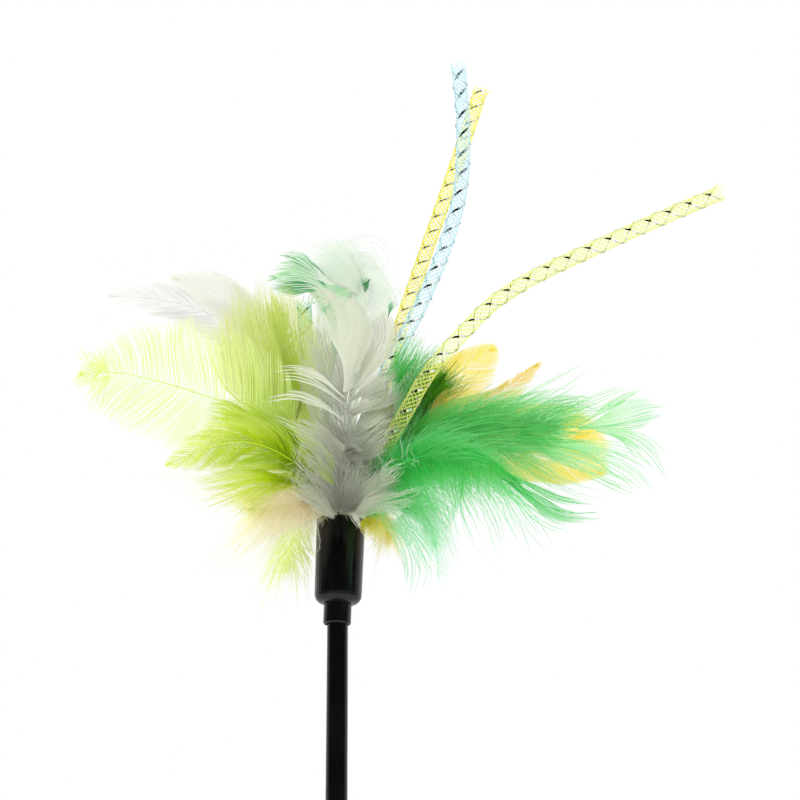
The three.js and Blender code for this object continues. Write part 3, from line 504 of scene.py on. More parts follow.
# Each mesh tube: its root and line as in the CAD model, the height of one full turn of its filaments,
# where its two foil threads start in turns, the foil's width in mm and the share of each turn that it
# rolls back, and its colours (filament, filament in places)
MESH_TUBES = {
    "blue": {
        "root": (0, 0), "slot": "mesh_blue", "turn": 11, "foils": (0.0, 0.5), "foil": (0.6, 0.5),
        "line": [
            (1.5, 1.5, 11.5), (4.5, 5, 24.5), (9, 7.5, 38.5), (13, 9, 48), (18.5, 10.5, 61), (24, 11, 76.5),
            (27.5, 12, 93), (27.5, 12, 112.5), (26, 12, 126),
        ],
        "colors": ("#d4f4fc", "#b4eaf6"),
    },
    "yellow": {
        "root": inner(50), "slot": "mesh_yellow", "turn": 9.2, "foils": (0.2, 0.7), "foil": (0.38, 0.5),
        "line": [
            (3, 6.5, 12.5), (6, 11, 26.5), (9.5, 15.5, 41), (13, 19, 56.5), (18, 20.5, 74.5), (23.5, 21, 93),
            (28, 21, 108.5), (32, 21, 123),
        ],
        "colors": ("#fffc18", "#fff200"),
    },
    "lime": {
        "root": inner(310), "slot": "mesh_lime", "turn": 11.4, "foils": (0.1, 0.6), "foil": (0.55, 0.5),
        "line": [
            (5, -5.5, 8), (10.5, -8.5, 17), (15, -10, 25), (21, -11, 36), (28, -12.5, 44.5), (36, -13.5, 53),
            (46, -14, 60), (57, -14, 66), (74.5, -12.5, 75.5), (92, -11, 84.5),
        ],
        "colors": ("#fbff90", "#f4ff78"),
    },
    "green": {
        "root": inner(95), "slot": "mesh_green", "turn": 11, "foils": (0.3, 0.8), "foil": (0.5, 0.5),
        "line": [(-1.8, 5.5, 14.5), (-6.5, 9, 29.5), (-10.5, 12.5, 46), (-12, 14, 60)],
        "colors": ("#7cd49c", "#4cbc74"),
    },
}


# Numbers and lines

LINE_SAMPLES_EACH = 60
LINE_TABLE = 400


def unit(vectors):
    return vectors / np.maximum(np.linalg.norm(vectors, axis=-1, keepdims=True), 1e-12)


def smoothstep(value, low, high):
    t = np.clip((value - low) / (high - low), 0, 1)
    return t * t * (3 - 2 * t)


def reach_at(values, share):
    """A value from an evenly spaced list, blended smoothly between its entries."""
    values = np.asarray(values, float)
    place = np.clip(share, 0, 1) * (len(values) - 1)
    index = np.minimum(place.astype(int), len(values) - 2)
    ease = smoothstep(place - index, 0, 1)
    return values[index] * (1 - ease) + values[index + 1] * ease


def catmull_rom(points, samples_each):
    """The centripetal curve that the CAD model's shafts and tubes follow."""
    p = np.asarray(points, float)
    p = np.vstack([2 * p[0] - p[1], p, 2 * p[-1] - p[-2]])
    t = np.linspace(0, 1, samples_each, endpoint=False)[:, None]
    made = []
    for i in range(1, len(p) - 2):
        x0, x1, x2, x3 = p[i - 1:i + 3]
        d0, d1, d2 = (np.linalg.norm(b - a) ** 0.5 for a, b in ((x0, x1), (x1, x2), (x2, x3)))
        start = ((x1 - x0) / d0 - (x2 - x0) / (d0 + d1) + (x2 - x1) / d1) * d1
        end = ((x2 - x1) / d1 - (x3 - x1) / (d1 + d2) + (x3 - x2) / d2) * d1
        square = 3 * x2 - 3 * x1 - 2 * start - end
        cube = 2 * x1 - 2 * x2 + start + end
        made.append(x1 + start * t + square * t**2 + cube * t**3)
    made.append(p[-2][None])
    return np.vstack(made)


def read_table(table, places, known):
    """Points between the rows of a table of points."""
    return np.stack([np.interp(places, known, table[:, k]) for k in range(3)], -1)


class Line:
    """A smooth line from a root at the rim, read by the share of its length, and straight past its end."""

    def __init__(self, root, points):
        places = catmull_rom([(root[0], root[1], 0), *points], LINE_SAMPLES_EACH)
        steps = np.linalg.norm(np.diff(places, axis=0), axis=1)
        reached = np.concatenate([[0], np.cumsum(steps)])
        self.length = reached[-1]
        self.shares = np.linspace(0, 1, LINE_TABLE)
        self.places = read_table(places, self.shares * self.length, reached)
        self.tangents = unit(np.gradient(self.places, axis=0))

    def at(self, share):
        place = read_table(self.places, share, self.shares)
        along = unit(read_table(self.tangents, share, self.shares))
        beyond = (share - np.clip(share, 0, 1))[..., None]
        return place + along * beyond * self.length, along


# Meshes made of many strands

class Strands:
    """Gathers ribbons, tubes and hairs into one mesh with one map. Points are in mm from the rim's centre."""

    def __init__(self):
        self.points, self.uvs, self.faces, self.slots = [], [], [], []
        self.count = 0

    def _add(self, points, uvs, faces, slot):
        self.points.append(points.reshape(-1, 3))
        self.uvs.append(uvs.reshape(-1, 2))
        self.faces.append(faces + self.count)
        self.slots.append(np.full(len(faces), slot, np.int32))
        self.count += points.reshape(-1, 3).shape[0]

    def grids(self, points, uvs, slot, closed=False):
        """points: strands x steps x sides x 3."""
        n, k, s, _ = points.shape
        ids = np.arange(n * k * s).reshape(n, k, s)
        right = np.roll(ids, -1, axis=2) if closed else ids[:, :, 1:]
        left = ids if closed else ids[:, :, :-1]
        faces = np.stack([left[:, :-1], right[:, :-1], right[:, 1:], left[:, 1:]], -1).reshape(-1, 4)
        self._add(points, uvs, faces, slot)

    def ribbons(self, middle, across, widths, place, span, slot):
        """Flat ribbons. place: each strand's place on the map across; span: (width, low v, high v)."""
        width, low, high = span
        half = (widths / 2)[..., None] * across
        points = np.stack([middle - half, middle + half], 2)
        uvs = np.empty(points.shape[:3] + (2,))
        uvs[..., 1] = np.linspace(low, high, middle.shape[1])[None, :, None]
        uvs[..., 0, 0] = place[:, None] - width / 2
        uvs[..., 1, 0] = place[:, None] + width / 2
        self.grids(points, uvs, slot)

    def tubes(self, middle, radii, place, span, slot, sides):
        """Round strands, with rings that turn as little as they can."""
        along = unit(np.gradient(middle, axis=1))
        # any direction that no strand runs along
        askew = np.array([0.31, 0.22, 0.92])
        side = np.empty_like(middle)
        side[:, 0] = unit(np.cross(along[:, 0], askew))
        for k in range(1, middle.shape[1]):
            last = side[:, k - 1]
            side[:, k] = unit(last - along[:, k] * np.sum(last * along[:, k], -1, keepdims=True))
        other = np.cross(along, side)
        turn = np.arange(sides) * 2 * math.pi / sides
        ring = side[:, :, None] * np.cos(turn)[:, None] + other[:, :, None] * np.sin(turn)[:, None]
        points = middle[:, :, None] + ring * radii[..., None, None]
        width, low, high = span
        uvs = np.empty(points.shape[:3] + (2,))
        uvs[..., 0] = place[:, None, None] + width * (np.abs(np.arange(sides) / sides - 0.5) - 0.25)
        uvs[..., 1] = np.linspace(low, high, middle.shape[1])[None, :, None]
        self.grids(points, uvs, slot, closed=True)

    def hairs(self, foot, tip, along, width, uv, size, slot):
        """Single triangles, each from a short foot to a point."""
        half = along * width / 2
        points = np.stack([foot - half, foot + half, tip], 1)
        uvs = np.repeat(uv[:, None, :], 3, 1)
        uvs[:, 0, 1] -= size
        uvs[:, 1, 1] += size
        uvs[:, 2, 0] += size
        faces = np.arange(len(foot) * 3).reshape(-1, 3)
        # the fourth corner is -1, which marks a triangle, once the count is added
        faces = np.concatenate([faces, np.full((len(faces), 1), -1 - self.count)], 1)
        self._add(points, uvs, faces, slot)

    def to_object(self, name, materials, matrix):
        points = np.concatenate(self.points) * MM
        faces = np.concatenate(self.faces)
        corners = faces[faces >= 0]
        totals = np.where(faces[:, 3] >= 0, 4, 3)
        starts = np.concatenate([[0], np.cumsum(totals)[:-1]])
        mesh = bpy.data.meshes.new(name)
        mesh.vertices.add(len(points))
        mesh.vertices.foreach_set("co", points.astype(np.float32).ravel())
        mesh.loops.add(len(corners))
        mesh.loops.foreach_set("vertex_index", corners.astype(np.int32))
        mesh.polygons.add(len(faces))
        mesh.polygons.foreach_set("loop_start", starts.astype(np.int32))
        mesh.polygons.foreach_set("material_index", np.concatenate(self.slots))
        layer = mesh.uv_layers.new(name=MAP_NAME)
        layer.data.foreach_set("uv", np.concatenate(self.uvs)[corners].astype(np.float32).ravel())
        mesh.update()
        mesh.validate()
        mesh.shade_smooth()
        for material in materials:
            mesh.materials.append(material)
        mesh.transform(matrix)
        made = bpy.data.objects.new(name, mesh)
        bpy.context.scene.collection.objects.link(made)
        return made


# Feathers

# Where the vane, the shaft and the down lie across the map, and the middle of the vane along it
VANE_MAP = (0.0, 0.66)
SHAFT_MAP = 0.69
DOWN_MAP = (0.73, 1.0)
VANE_MIDDLE = 0.5
VANE_SLOT, SHAFT_SLOT, DOWN_SLOT = range(3)

# The feather's outline: its samples, and where it closes past the shaft's tip
OUTLINE_SAMPLES = 400
OUTLINE_END_SHARE = 1.004

# Barbs of the vane: the lowest and highest places where they leave the shaft, the first as a share of
# the vane's start, and how they taper and tilt
BARB_STEPS = 10
BARB_LOWEST = 0.45
BARB_HIGHEST = 0.97
BARB_LEAST_WIDTH = 0.05
BARB_TAPER = ((0, 0.12, 0.7, 0.9, 1), (0.9, 1, 0.95, 0.5, 0.05))
BARB_TILT_DEGREES = (8, 6)

# Loose locks: a downy one has more than this many barbules to a barb and starts wider. The limits of a
# barb's width are for locks with and without barbules.
LOCK_SAMPLES_EACH = 14
LOCK_STEPS = 18
LOCK_DOWNY = 12
LOCK_START_WIDTHS = (0.6, 0.1)
LOCK_TAPER = ((0, 0.15, 0.85, 1), (0.7, 1, 0.8, 0.06))
LOCK_COVER = (1.5, 2.6)
LOCK_LEAST_WIDTH = 0.07
LOCK_MOST_WIDTHS = (0.18, 0.26)
LOCK_HAIR = 1.1
LOCK_MAP = (0.55, 0.95)

# Barbules and down
HAIR_WIDTH = 0.055
HAIR_MAP_SIZE = 0.0005
DOWN_STEPS = 9
DOWN_WIDTH = 0.1
DOWN_DROOP = 0.12
DOWN_CURL = 0.5
DOWN_HAIRS = 56
DOWN_HAIR = 1.3
DOWN_TAPER = ((0, 0.6, 1), (1, 0.8, 0.1))
SPAN_MAP = (0.02, 0.98)

# Shafts
SHAFT_STEPS = 60
SHAFT_END_SHARE = 0.985


class Blade:
    """The surface that a feather's barbs lie on: a shaft line with directions across it."""

    def __init__(self, row):
        self.line = Line(row["root"], row["shaft"])
        self.length = self.line.length
        self.row = row

    def directions(self, share):
        place, along = self.line.at(share)
        side = unit(np.cross(along, TO_VIEWER))
        normal = unit(np.cross(along, side))
        grown = np.clip(share / BLADE_START_SHARE, 0, 1)
        twist = np.radians(self.row["twist"] * grown)[..., None]
        turned = side * np.cos(twist) + normal * np.sin(twist)
        facing = normal * np.cos(twist) - side * np.sin(twist)
        return place, along, turned, facing, grown

    def outline(self, share, sign):
        past = np.clip((share - (1 - TIP_ROUND_SHARE)) / TIP_ROUND_SHARE, 0, 1)
        tip = np.maximum(TIP_LEAST_SHARE, np.sqrt(1 - past**2))
        return tip * reach_at(self.row["right" if sign > 0 else "left"], share)

    def outline_ends(self, sign, start, count):
        """Where barbs meet the feather's outline: evenly along it, round the tip as well."""
        share = np.linspace(start, 1, OUTLINE_SAMPLES)
        along = np.append(share, OUTLINE_END_SHARE) * self.length
        reach = np.append(self.outline(share, sign), 0)
        gone = np.concatenate([[0], np.cumsum(np.hypot(np.diff(along), np.diff(reach)))])
        stops = np.linspace(0, gone[-1], count)
        return np.interp(stops, gone, along) / self.length, np.interp(stops, gone, reach)


def clump_up(rng, count, sizes):
    """For each barb: its clump, and its place in the clump from -1 to 1."""
    clump = np.empty(count, int)
    place = np.empty(count)
    start, number = 0, 0
    while start < count:
        size = min(int(rng.integers(sizes[0], sizes[1] + 1)), count - start)
        clump[start:start + size] = number
        place[start:start + size] = np.linspace(-1, 1, size) if size > 1 else 0
        start += size
        number += 1
    return clump, place, number


def grow_barbs(rng, blade, strands, sign):
    """One side of the vane: a ribbon for each barb, from the shaft to the feather's outline."""
    kind = blade.row["kind"]
    start = kind["start"]
    vane_length = blade.length * (1 - start)
    count = int(vane_length / kind["spacing"])
    ends, reach = blade.outline_ends(sign, start, count)
    clump, place, clumps = clump_up(rng, count, kind["clump"])

    # where each barb leaves the shaft and where it ends
    uneven = 0.6 * rng.random(count) + 0.8 * rng.random(clumps)[clump]
    reach = reach * kind["longer"] * (1 - kind["ragged"] * uneven)
    angle = np.radians(np.interp(ends, [start, 1], kind["angle"]))
    roots = ends - reach / np.tan(angle) / blade.length
    lowest = np.linspace(start * BARB_LOWEST, start, count)
    roots = np.maximum.accumulate(np.clip(roots, lowest, BARB_HIGHEST))
    if kind["hairs"]:
        roots = np.linspace(start * BARB_LOWEST, kind["stop"], count)
        angle = angle * rng.uniform(0.7, 1.3, count)
        ends = roots + reach / np.tan(angle) / blade.length

    # how it runs along the shaft and across from it: bowed, drawn to its clump and wandering
    q = np.linspace(0, 1, BARB_STEPS)[None]
    drawn = kind["gather"] * 1.6 * rng.random(clumps) ** 2
    half_clump = 0.5 * np.bincount(clump) * vane_length / count
    drift = (rng.normal(0, kind["lean"], clumps) * rng.random(clumps))[clump]
    drift = drift - place * (drawn * half_clump)[clump]
    phase = rng.random((count, 1))
    wobble = np.sin(2 * math.pi * (q * rng.uniform(0.6, 1.6, (count, 1)) + phase)) * q
    wander = kind["wave"] * (rng.normal(0, 0.5, (count, 1)) * q**2 + 0.3 * wobble)
    forward = (ends - roots)[:, None] * q ** (1 + kind["bow"])
    share = roots[:, None] + forward + (drift[:, None] * q**2 + wander) / blade.length
    across = reach[:, None] * (1 - (1 - q) ** (1 + kind["bow"] / 2))

    # how it stands off the vane
    centre, _, side, facing, grown = blade.directions(share)
    lift = (rng.normal(0, kind["lift"], clumps) * rng.random(clumps))[clump][:, None] * q**1.6
    lift = lift + kind["wave"] * rng.normal(0, 0.45, (count, 1)) * q**1.5
    lift = lift + 0.25 * np.sin(2 * math.pi * (share * 3 + rng.random())) * q
    cup = blade.row["cupping"] * grown * across**2 / np.maximum(reach, 0.5)[:, None]
    middle = centre + sign * side * across[..., None] + facing * (cup + lift)[..., None]

    run = unit(np.gradient(middle, axis=1))
    flat = unit(np.cross(run, facing))
    tilt = np.radians(rng.normal(*BARB_TILT_DEGREES, (count, 1)))[..., None]
    flat = flat * np.cos(tilt) + np.cross(run, flat) * np.sin(tilt)
    taper = np.interp(q[0], *BARB_TAPER)[None]
    width = max(BARB_LEAST_WIDTH, vane_length / count * kind["cover"])
    widths = width * taper * rng.uniform(0.8, 1.2, (count, 1))
    low, high = VANE_MAP
    map_place = low + (high - low) * (np.arange(count) + 0.5) / count
    half = 0.5 if sign > 0 else -0.5
    span = ((high - low) / count, VANE_MIDDLE, VANE_MIDDLE + half)
    strands.ribbons(middle, flat, widths, map_place, span, VANE_SLOT)
    if kind["hairs"]:
        span = (VANE_MIDDLE, VANE_MIDDLE + half * 0.98)
        grow_hairs(rng, strands, middle, run, map_place, span, kind["hairs"], kind["hair"], VANE_SLOT)


def between(rows, spot):
    """Points between the rows of a list, at places that are counted in rows."""
    index = np.minimum(spot.astype(int), len(rows) - 2)
    share = (spot - index)[..., None]
    return rows[index] * (1 - share) + rows[index + 1] * share


def grow_locks(rng, strands, locks):
    """Barbs that leave the shaft together, each lock spread round a line of its own."""
    q = np.linspace(0, 1, LOCK_STEPS)
    for tone, number, half_width, ragged, hairs, *points in locks:
        path = catmull_rom(points, LOCK_SAMPLES_EACH)
        path = read_table(path, np.linspace(0, len(path) - 1, LOCK_STEPS * 3), np.arange(len(path)))
        flat = unit(np.cross(unit(np.gradient(path, axis=0)), AWAY))

        # each barb follows the line to its own length, beside it and a little off it
        fan = np.linspace(-1, 1, number) + rng.normal(0, 0.6 / number, number)
        end = 1 - 0.2 * fan**2 - ragged * rng.random(number)
        t = q[None] * end[:, None]
        spot = t * (len(path) - 1)
        out = unit(between(flat, spot))
        base = LOCK_START_WIDTHS[0 if hairs > LOCK_DOWNY else 1]
        spread = half_width * (base + (1 - base) * smoothstep(t, 0, 0.6)) * (1 - 0.3 * smoothstep(t, 0.7, 1))
        bundle = between(path, spot) + out * (spread * fan[:, None])[..., None]
        lift = 0.12 * half_width * fan[:, None] ** 2 * t + 0.1 * rng.normal(size=(number, 1)) * t
        lift = lift + 0.25 * np.sin(9 * fan[:, None] + 5 * t) * t
        bundle = bundle + AWAY * lift[..., None]
        loose = 0.12 + 0.02 * hairs
        sway = np.sin(rng.uniform(3, 6, (number, 1)) * q + rng.uniform(0, 6, (number, 1))) - 0.5
        stray = loose * rng.normal(size=(number, 1)) * (q**2 + 0.6 * q * sway)
        bundle = bundle + out * stray[..., None]

        ahead = unit(np.gradient(bundle, axis=1))
        sheet = unit(np.cross(ahead, AWAY) + AWAY * 0.25)
        fit = 0 if hairs else 1
        widths = np.clip(LOCK_COVER[fit] * spread / number, LOCK_LEAST_WIDTH, LOCK_MOST_WIDTHS[fit])
        widths = widths * np.interp(q, *LOCK_TAPER)[None]
        low, high = VANE_MAP
        place = low + (high - low) * np.clip(tone + 0.08 * fan, 0.01, 0.99)
        strands.ribbons(bundle, sheet, widths, place, (0.0004, *LOCK_MAP), VANE_SLOT)
        if hairs:
            grow_hairs(rng, strands, bundle, ahead, place, LOCK_MAP, hairs, LOCK_HAIR, VANE_SLOT)


def grow_hairs(rng, strands, middle, run, place, span, hairs, longest, slot):
    """Barbules: short hairs round each barb or down strand, long at its foot and short at its tip."""
    count, steps, _ = middle.shape
    spot = (np.arange(hairs)[None] + rng.random((count, hairs))) / hairs * 0.94
    index = np.minimum((spot * (steps - 1)).astype(int), steps - 2)
    t = (spot * (steps - 1) - index)[..., None]
    rows = np.arange(count)[:, None]
    foot = middle[rows, index] * (1 - t) + middle[rows, index + 1] * t
    ahead = run[rows, index]
    around = rng.normal(size=foot.shape)
    around = unit(around - ahead * np.sum(around * ahead, -1, keepdims=True))
    out = unit(around + ahead * rng.uniform(0.5, 1.3, t.shape))
    size = np.clip(np.linalg.norm(middle[:, -1] - middle[:, 0], axis=-1) / 9, 0.15, 1)[:, None, None]
    length = longest * size * rng.uniform(0.4, 1.2, t.shape) * (1.05 - 0.8 * spot[..., None] ** 2)
    tip = foot + out * length
    low, high = span
    uv = np.stack([np.repeat(place[:, None], hairs, 1), low + (high - low) * spot], -1)
    foot, tip, ahead = (points.reshape(-1, 3) for points in (foot, tip, ahead))
    strands.hairs(foot, tip, ahead, HAIR_WIDTH, uv.reshape(-1, 2), HAIR_MAP_SIZE, slot)


def wandering(rng, start, heading, lengths):
    """Soft strands that leave start along heading and wander as they go."""
    count = len(start)
    q = np.linspace(0, 1, DOWN_STEPS)[None, :, None]
    direction = heading[:, None] + 0 * q
    for turns in (0.7, 1.7, 3.1):
        swing = unit(rng.normal(size=(count, 1, 3))) * DOWN_CURL / turns**0.5
        direction = direction + swing * np.sin(2 * math.pi * (turns * q + rng.random((count, 1, 1)))) * q**0.6
    stride = (lengths / (DOWN_STEPS - 1))[:, None, None]
    path = np.cumsum(unit(direction) * stride, axis=1)
    return start[:, None] + path - path[:, :1]


def grow_down(rng, blade, strands, number, longest):
    """The soft down near the root, which stands out on all sides of the shaft and droops a little."""
    share = 0.02 + 0.34 * rng.random(number) ** 1.3
    centre, along, side, facing, _ = blade.directions(share)
    sign = rng.choice([-1.0, 1.0], number)[:, None]
    heading = side * sign * rng.uniform(0.4, 1.3, (number, 1))
    heading = heading + along * rng.uniform(0.0, 1.2, (number, 1))
    heading = unit(heading + facing * rng.normal(0, 0.6, (number, 1)))
    lengths = longest * rng.uniform(0.35, 1, number) * np.interp(share, [0, 0.12, 0.36], [0.6, 1, 0.75])
    middle = wandering(rng, centre, heading, lengths)
    q = np.linspace(0, 1, DOWN_STEPS)[None]
    middle[..., 2] -= DOWN_DROOP * lengths[:, None] * q**2
    run = unit(np.gradient(middle, axis=1))
    flat = unit(np.cross(run, unit(rng.normal(size=(number, 1, 3)))))
    widths = DOWN_WIDTH * rng.uniform(0.6, 1.3, (number, 1)) * np.interp(q, *DOWN_TAPER)
    low, high = DOWN_MAP
    width = (high - low) / number
    place = low + width * (np.arange(number) + 0.5)
    strands.ribbons(middle, flat, widths, place, (width, *SPAN_MAP), DOWN_SLOT)
    grow_hairs(rng, strands, middle, run, place, SPAN_MAP, DOWN_HAIRS, DOWN_HAIR, DOWN_SLOT)


def grow_shaft(blade, strands):
    """The quill in the glue and the shaft that it runs on into, down to a fine tip."""
    root = blade.row["root"]
    share = np.linspace(0, SHAFT_END_SHARE, SHAFT_STEPS)
    places, _ = blade.line.at(share)
    middle = np.vstack([[(root[0], root[1], ROOT_END_Z)], places])[None]
    finest = QUILL_TIP_DIAMETER / QUILL_DIAMETER
    thick = QUILL_DIAMETER / 2 * np.interp(share, [0, 0.15, 0.5, 1], [1, 0.62, 0.34, finest])
    radii = np.concatenate([[QUILL_DIAMETER / 2], thick])[None]
    strands.tubes(middle, radii, np.array([SHAFT_MAP]), (0.02, *SPAN_MAP), SHAFT_SLOT, 8)


# Materials

# The share of light that goes through a barb
THROUGH = 0.68
QUILL_COLOR = "#e6e2cc"
WHITE = (1, 1, 1, 1)

# Inputs and output of a mix node, by the kind of what it mixes
MIX_SOCKETS = {"RGBA": (0, 6, 7, 2), "FLOAT": (0, 2, 3, 0)}


def linear(code):
    channels = [int(code[i:i + 2], 16) / 255 for i in (1, 3, 5)]
    return tuple(c / 12.92 if c <= 0.04045 else ((c + 0.055) / 1.055) ** 2.4 for c in channels) + (1.0,)


class Nodes:
    """A short way to build a node tree. A value is a number, a colour or the output of another node."""

    def __init__(self, tree):
        self.tree = tree
        tree.nodes.clear()

    def add(self, kind, **settings):
        node = self.tree.nodes.new("ShaderNode" + kind)
        for key, value in settings.items():
            setattr(node, key, value)
        return node

    def set(self, socket, value):
        if isinstance(value, (int, float, tuple)):
            socket.default_value = value
        else:
            self.tree.links.new(value, socket)

    def fill(self, node, **values):
        for key, value in values.items():
            self.set(node.inputs[key.replace("_", " ").title().replace("Ior", "IOR")], value)
        return node

    def maths(self, operation, first, second):
        node = self.add("Math", operation=operation)
        self.set(node.inputs[0], first)
        self.set(node.inputs[1], second)
        return node.outputs[0]

    def map_range(self, value, low, high, to_low=0.0, to_high=1.0):
        node = self.add("MapRange")
        self.fill(node, value=value, from_min=low, from_max=high, to_min=to_low, to_max=to_high)
        return node.outputs["Result"]

    def mix(self, share, first, second, kind="RGBA"):
        node = self.add("Mix", data_type=kind)
        *inputs, output = MIX_SOCKETS[kind]
        for index, value in zip(inputs, (share, first, second)):
            self.set(node.inputs[index], value)
        return node.outputs[output]

    def mix_shader(self, share, first, second):
        node = self.add("MixShader")
        for socket, value in zip(node.inputs, (share, first, second)):
            self.set(socket, value)
        return node.outputs[0]

    def ramp(self, value, stops):
        node = self.add("ValToRGB")
        ramp = node.color_ramp
        ramp.interpolation = "EASE"
        while len(ramp.elements) < len(stops):
            ramp.elements.new(0.5)
        for element, (place, color) in zip(ramp.elements, stops):
            element.position = place
            element.color = color
        self.set(node.inputs[0], value)
        return node.outputs["Color"]

    def noise(self, vector, scale, detail=2.0, roughness=0.5):
        """Cloudy noise, with one scale or with a scale for each axis."""
        if isinstance(scale, tuple):
            vector = self.scaled(vector, scale)
            scale = 1.0
        node = self.add("TexNoise")
        self.fill(node, vector=vector, scale=scale, detail=detail, roughness=roughness)
        return node.outputs[0]

    def scaled(self, vector, scale):
        node = self.add("Mapping", vector_type="POINT")
        return self.fill(node, vector=vector, scale=scale).outputs["Vector"]

    def principled(self, **values):
        return self.fill(self.add("BsdfPrincipled"), **values).outputs[0]

    def bump(self, height, strength, distance):
        node = self.add("Bump")
        return self.fill(node, height=height, strength=strength, distance=distance).outputs["Normal"]

    def parts(self, vector):
        node = self.add("SeparateXYZ")
        self.set(node.inputs[0], vector)
        return node.outputs

    def map_place(self):
        return self.add("UVMap", uv_map=MAP_NAME).outputs[0]

    def object_place(self):
        return self.add("TexCoord").outputs["Object"]

    def finish(self, shader, target="Material"):
        out = self.add("Output" + target)
        self.set(out.inputs["Surface"], shader)


def new_material(name):
    made = bpy.data.materials.new(name)
    made.use_nodes = True
    return made, Nodes(made.node_tree)


def soft_shader(nodes, color, through, **more):
    """Thin keratin: part of the light comes back and part goes through."""
    look = {"roughness": 0.62, "specular_ior_level": 0.25, "sheen_weight": 0.15, "sheen_roughness": 0.4}
    front = nodes.principled(base_color=color, **look, **more)
    behind = nodes.fill(nodes.add("BsdfTranslucent"), color=color).outputs[0]
    return nodes.mix_shader(through, front, behind)


def vane_material(name, colors, through):
    """Barbs: the colour runs from root to tip and out to the edge, with streaks that keep to single barbs."""
    root, middle, tip, edge, streak = (linear(c) for c in colors[:5])
    made, nodes = new_material(name)
    place = nodes.map_place()
    parts = nodes.parts(place)
    along = nodes.map_range(parts[0], *VANE_MAP)
    off_middle = nodes.maths("ABSOLUTE", nodes.maths("SUBTRACT", parts[1], VANE_MIDDLE), 0)
    outward = nodes.map_range(off_middle, 0, 0.5)
    base = nodes.ramp(along, [(0.0, root), (0.42, middle), (1.0, tip)])
    edged = nodes.mix(nodes.map_range(outward, 0.35, 1.0, 0, 0.85), base, edge)
    fine = nodes.noise(place, (190, 1.6, 1), 3.0, 0.65)
    broad = nodes.noise(place, (34, 1.1, 1), 2.0, 0.5)
    both = nodes.maths("ADD", nodes.maths("MULTIPLY", fine, 0.55), nodes.maths("MULTIPLY", broad, 0.45))
    lines = nodes.map_range(both, 0.42, 0.62)
    fading = nodes.map_range(along, 0.7, 0.95, 0.6, 0.09)
    streaked = nodes.mix(nodes.maths("MULTIPLY", lines, fading), edged, streak)
    nodes.finish(soft_shader(nodes, streaked, through, normal=nodes.bump(fine, 0.25, 0.0002)))
    return made


def shaft_material(name, colors):
    made, nodes = new_material(name)
    place = nodes.map_place()
    shaft = linear(colors[6])
    color = nodes.ramp(nodes.parts(place)[1], [(0.0, linear(QUILL_COLOR)), (0.22, shaft), (1.0, shaft)])
    grain = nodes.noise(place, (60, 24, 1), 3.0)
    varied = nodes.mix(nodes.map_range(grain, 0.3, 0.7, 0, 0.3), color, linear(colors[1]))
    bump = nodes.bump(grain, 0.2, 0.0001)
    nodes.finish(nodes.principled(base_color=varied, roughness=0.38, specular_ior_level=0.45, normal=bump))
    return made


def down_material(name, colors):
    made, nodes = new_material(name)
    place = nodes.map_place()
    down, root, edge = linear(colors[5]), linear(colors[0]), linear(colors[3])
    single = nodes.noise(place, (420, 0.6, 1), 1.0)
    base = nodes.ramp(nodes.parts(place)[1], [(0.0, root), (0.35, down), (1.0, down)])
    varied = nodes.mix(nodes.map_range(single, 0.35, 0.7, 0, 0.7), base, edge)
    nodes.finish(soft_shader(nodes, varied, THROUGH))
    return made


def filament_material(name, colors):
    made, nodes = new_material(name)
    cloud = nodes.noise(nodes.map_place(), (16, 40, 1), 2.0)
    color = nodes.mix(nodes.map_range(cloud, 0.35, 0.65), linear(colors[0]), linear(colors[1]))
    rough = nodes.map_range(cloud, 0.3, 0.7, 0.22, 0.4)
    nodes.finish(nodes.principled(base_color=color, roughness=rough, specular_ior_level=0.5))
    return made


def foil_material():
    made, nodes = new_material("metallic_foil")
    crinkle = nodes.noise(nodes.map_place(), (8, 260, 1), 2.0)
    color = nodes.mix(nodes.map_range(crinkle, 0.3, 0.7), linear("#c8ccd0"), linear("#e8ecee"))
    bump = nodes.bump(crinkle, 0.5, 0.0002)
    nodes.finish(nodes.principled(base_color=color, roughness=0.12, metallic=1.0, normal=bump))
    return made


def plastic_material(name, color, rough_low, rough_high, grain_scale, bump_distance):
    """Moulded plastic or rubber with handling marks: fine grain, faint scuffs and a little dust."""
    made, nodes = new_material(name)
    place = nodes.object_place()
    grain = nodes.noise(place, grain_scale, 4.0, 0.6)
    smudge = nodes.noise(place, 90, 3.0, 0.6)
    scuff = nodes.noise(place, (900, 900, 60), 3.0, 0.7)
    pale = tuple(min(1.0, c * 2.6 + 0.006) for c in color[:3]) + (1.0,)
    worn = nodes.maths("MULTIPLY", nodes.map_range(scuff, 0.62, 0.8), nodes.map_range(smudge, 0.4, 0.7))
    dull = nodes.map_range(smudge, 0.3, 0.7, 0.0, rough_high - rough_low)
    dull = nodes.maths("ADD", dull, nodes.map_range(worn, 0, 1, 0, 0.12))
    nodes.finish(nodes.principled(
        base_color=nodes.mix(worn, color, pale), roughness=nodes.maths("ADD", dull, rough_low),
        specular_ior_level=0.35, normal=nodes.bump(grain, 0.35, bump_distance),
    ))
    return made


def glue_material():
    made, nodes = new_material("hot_glue")
    cloud = nodes.noise(nodes.object_place(), 700, 3.0)
    color = nodes.mix(nodes.map_range(cloud, 0.3, 0.7), linear("#cfc39a"), linear("#e4dcc0"))
    nodes.finish(nodes.principled(
        base_color=color, roughness=0.3, subsurface_weight=0.4, subsurface_scale=0.002,
        normal=nodes.bump(cloud, 0.4, 0.0002),
    ))
    return made


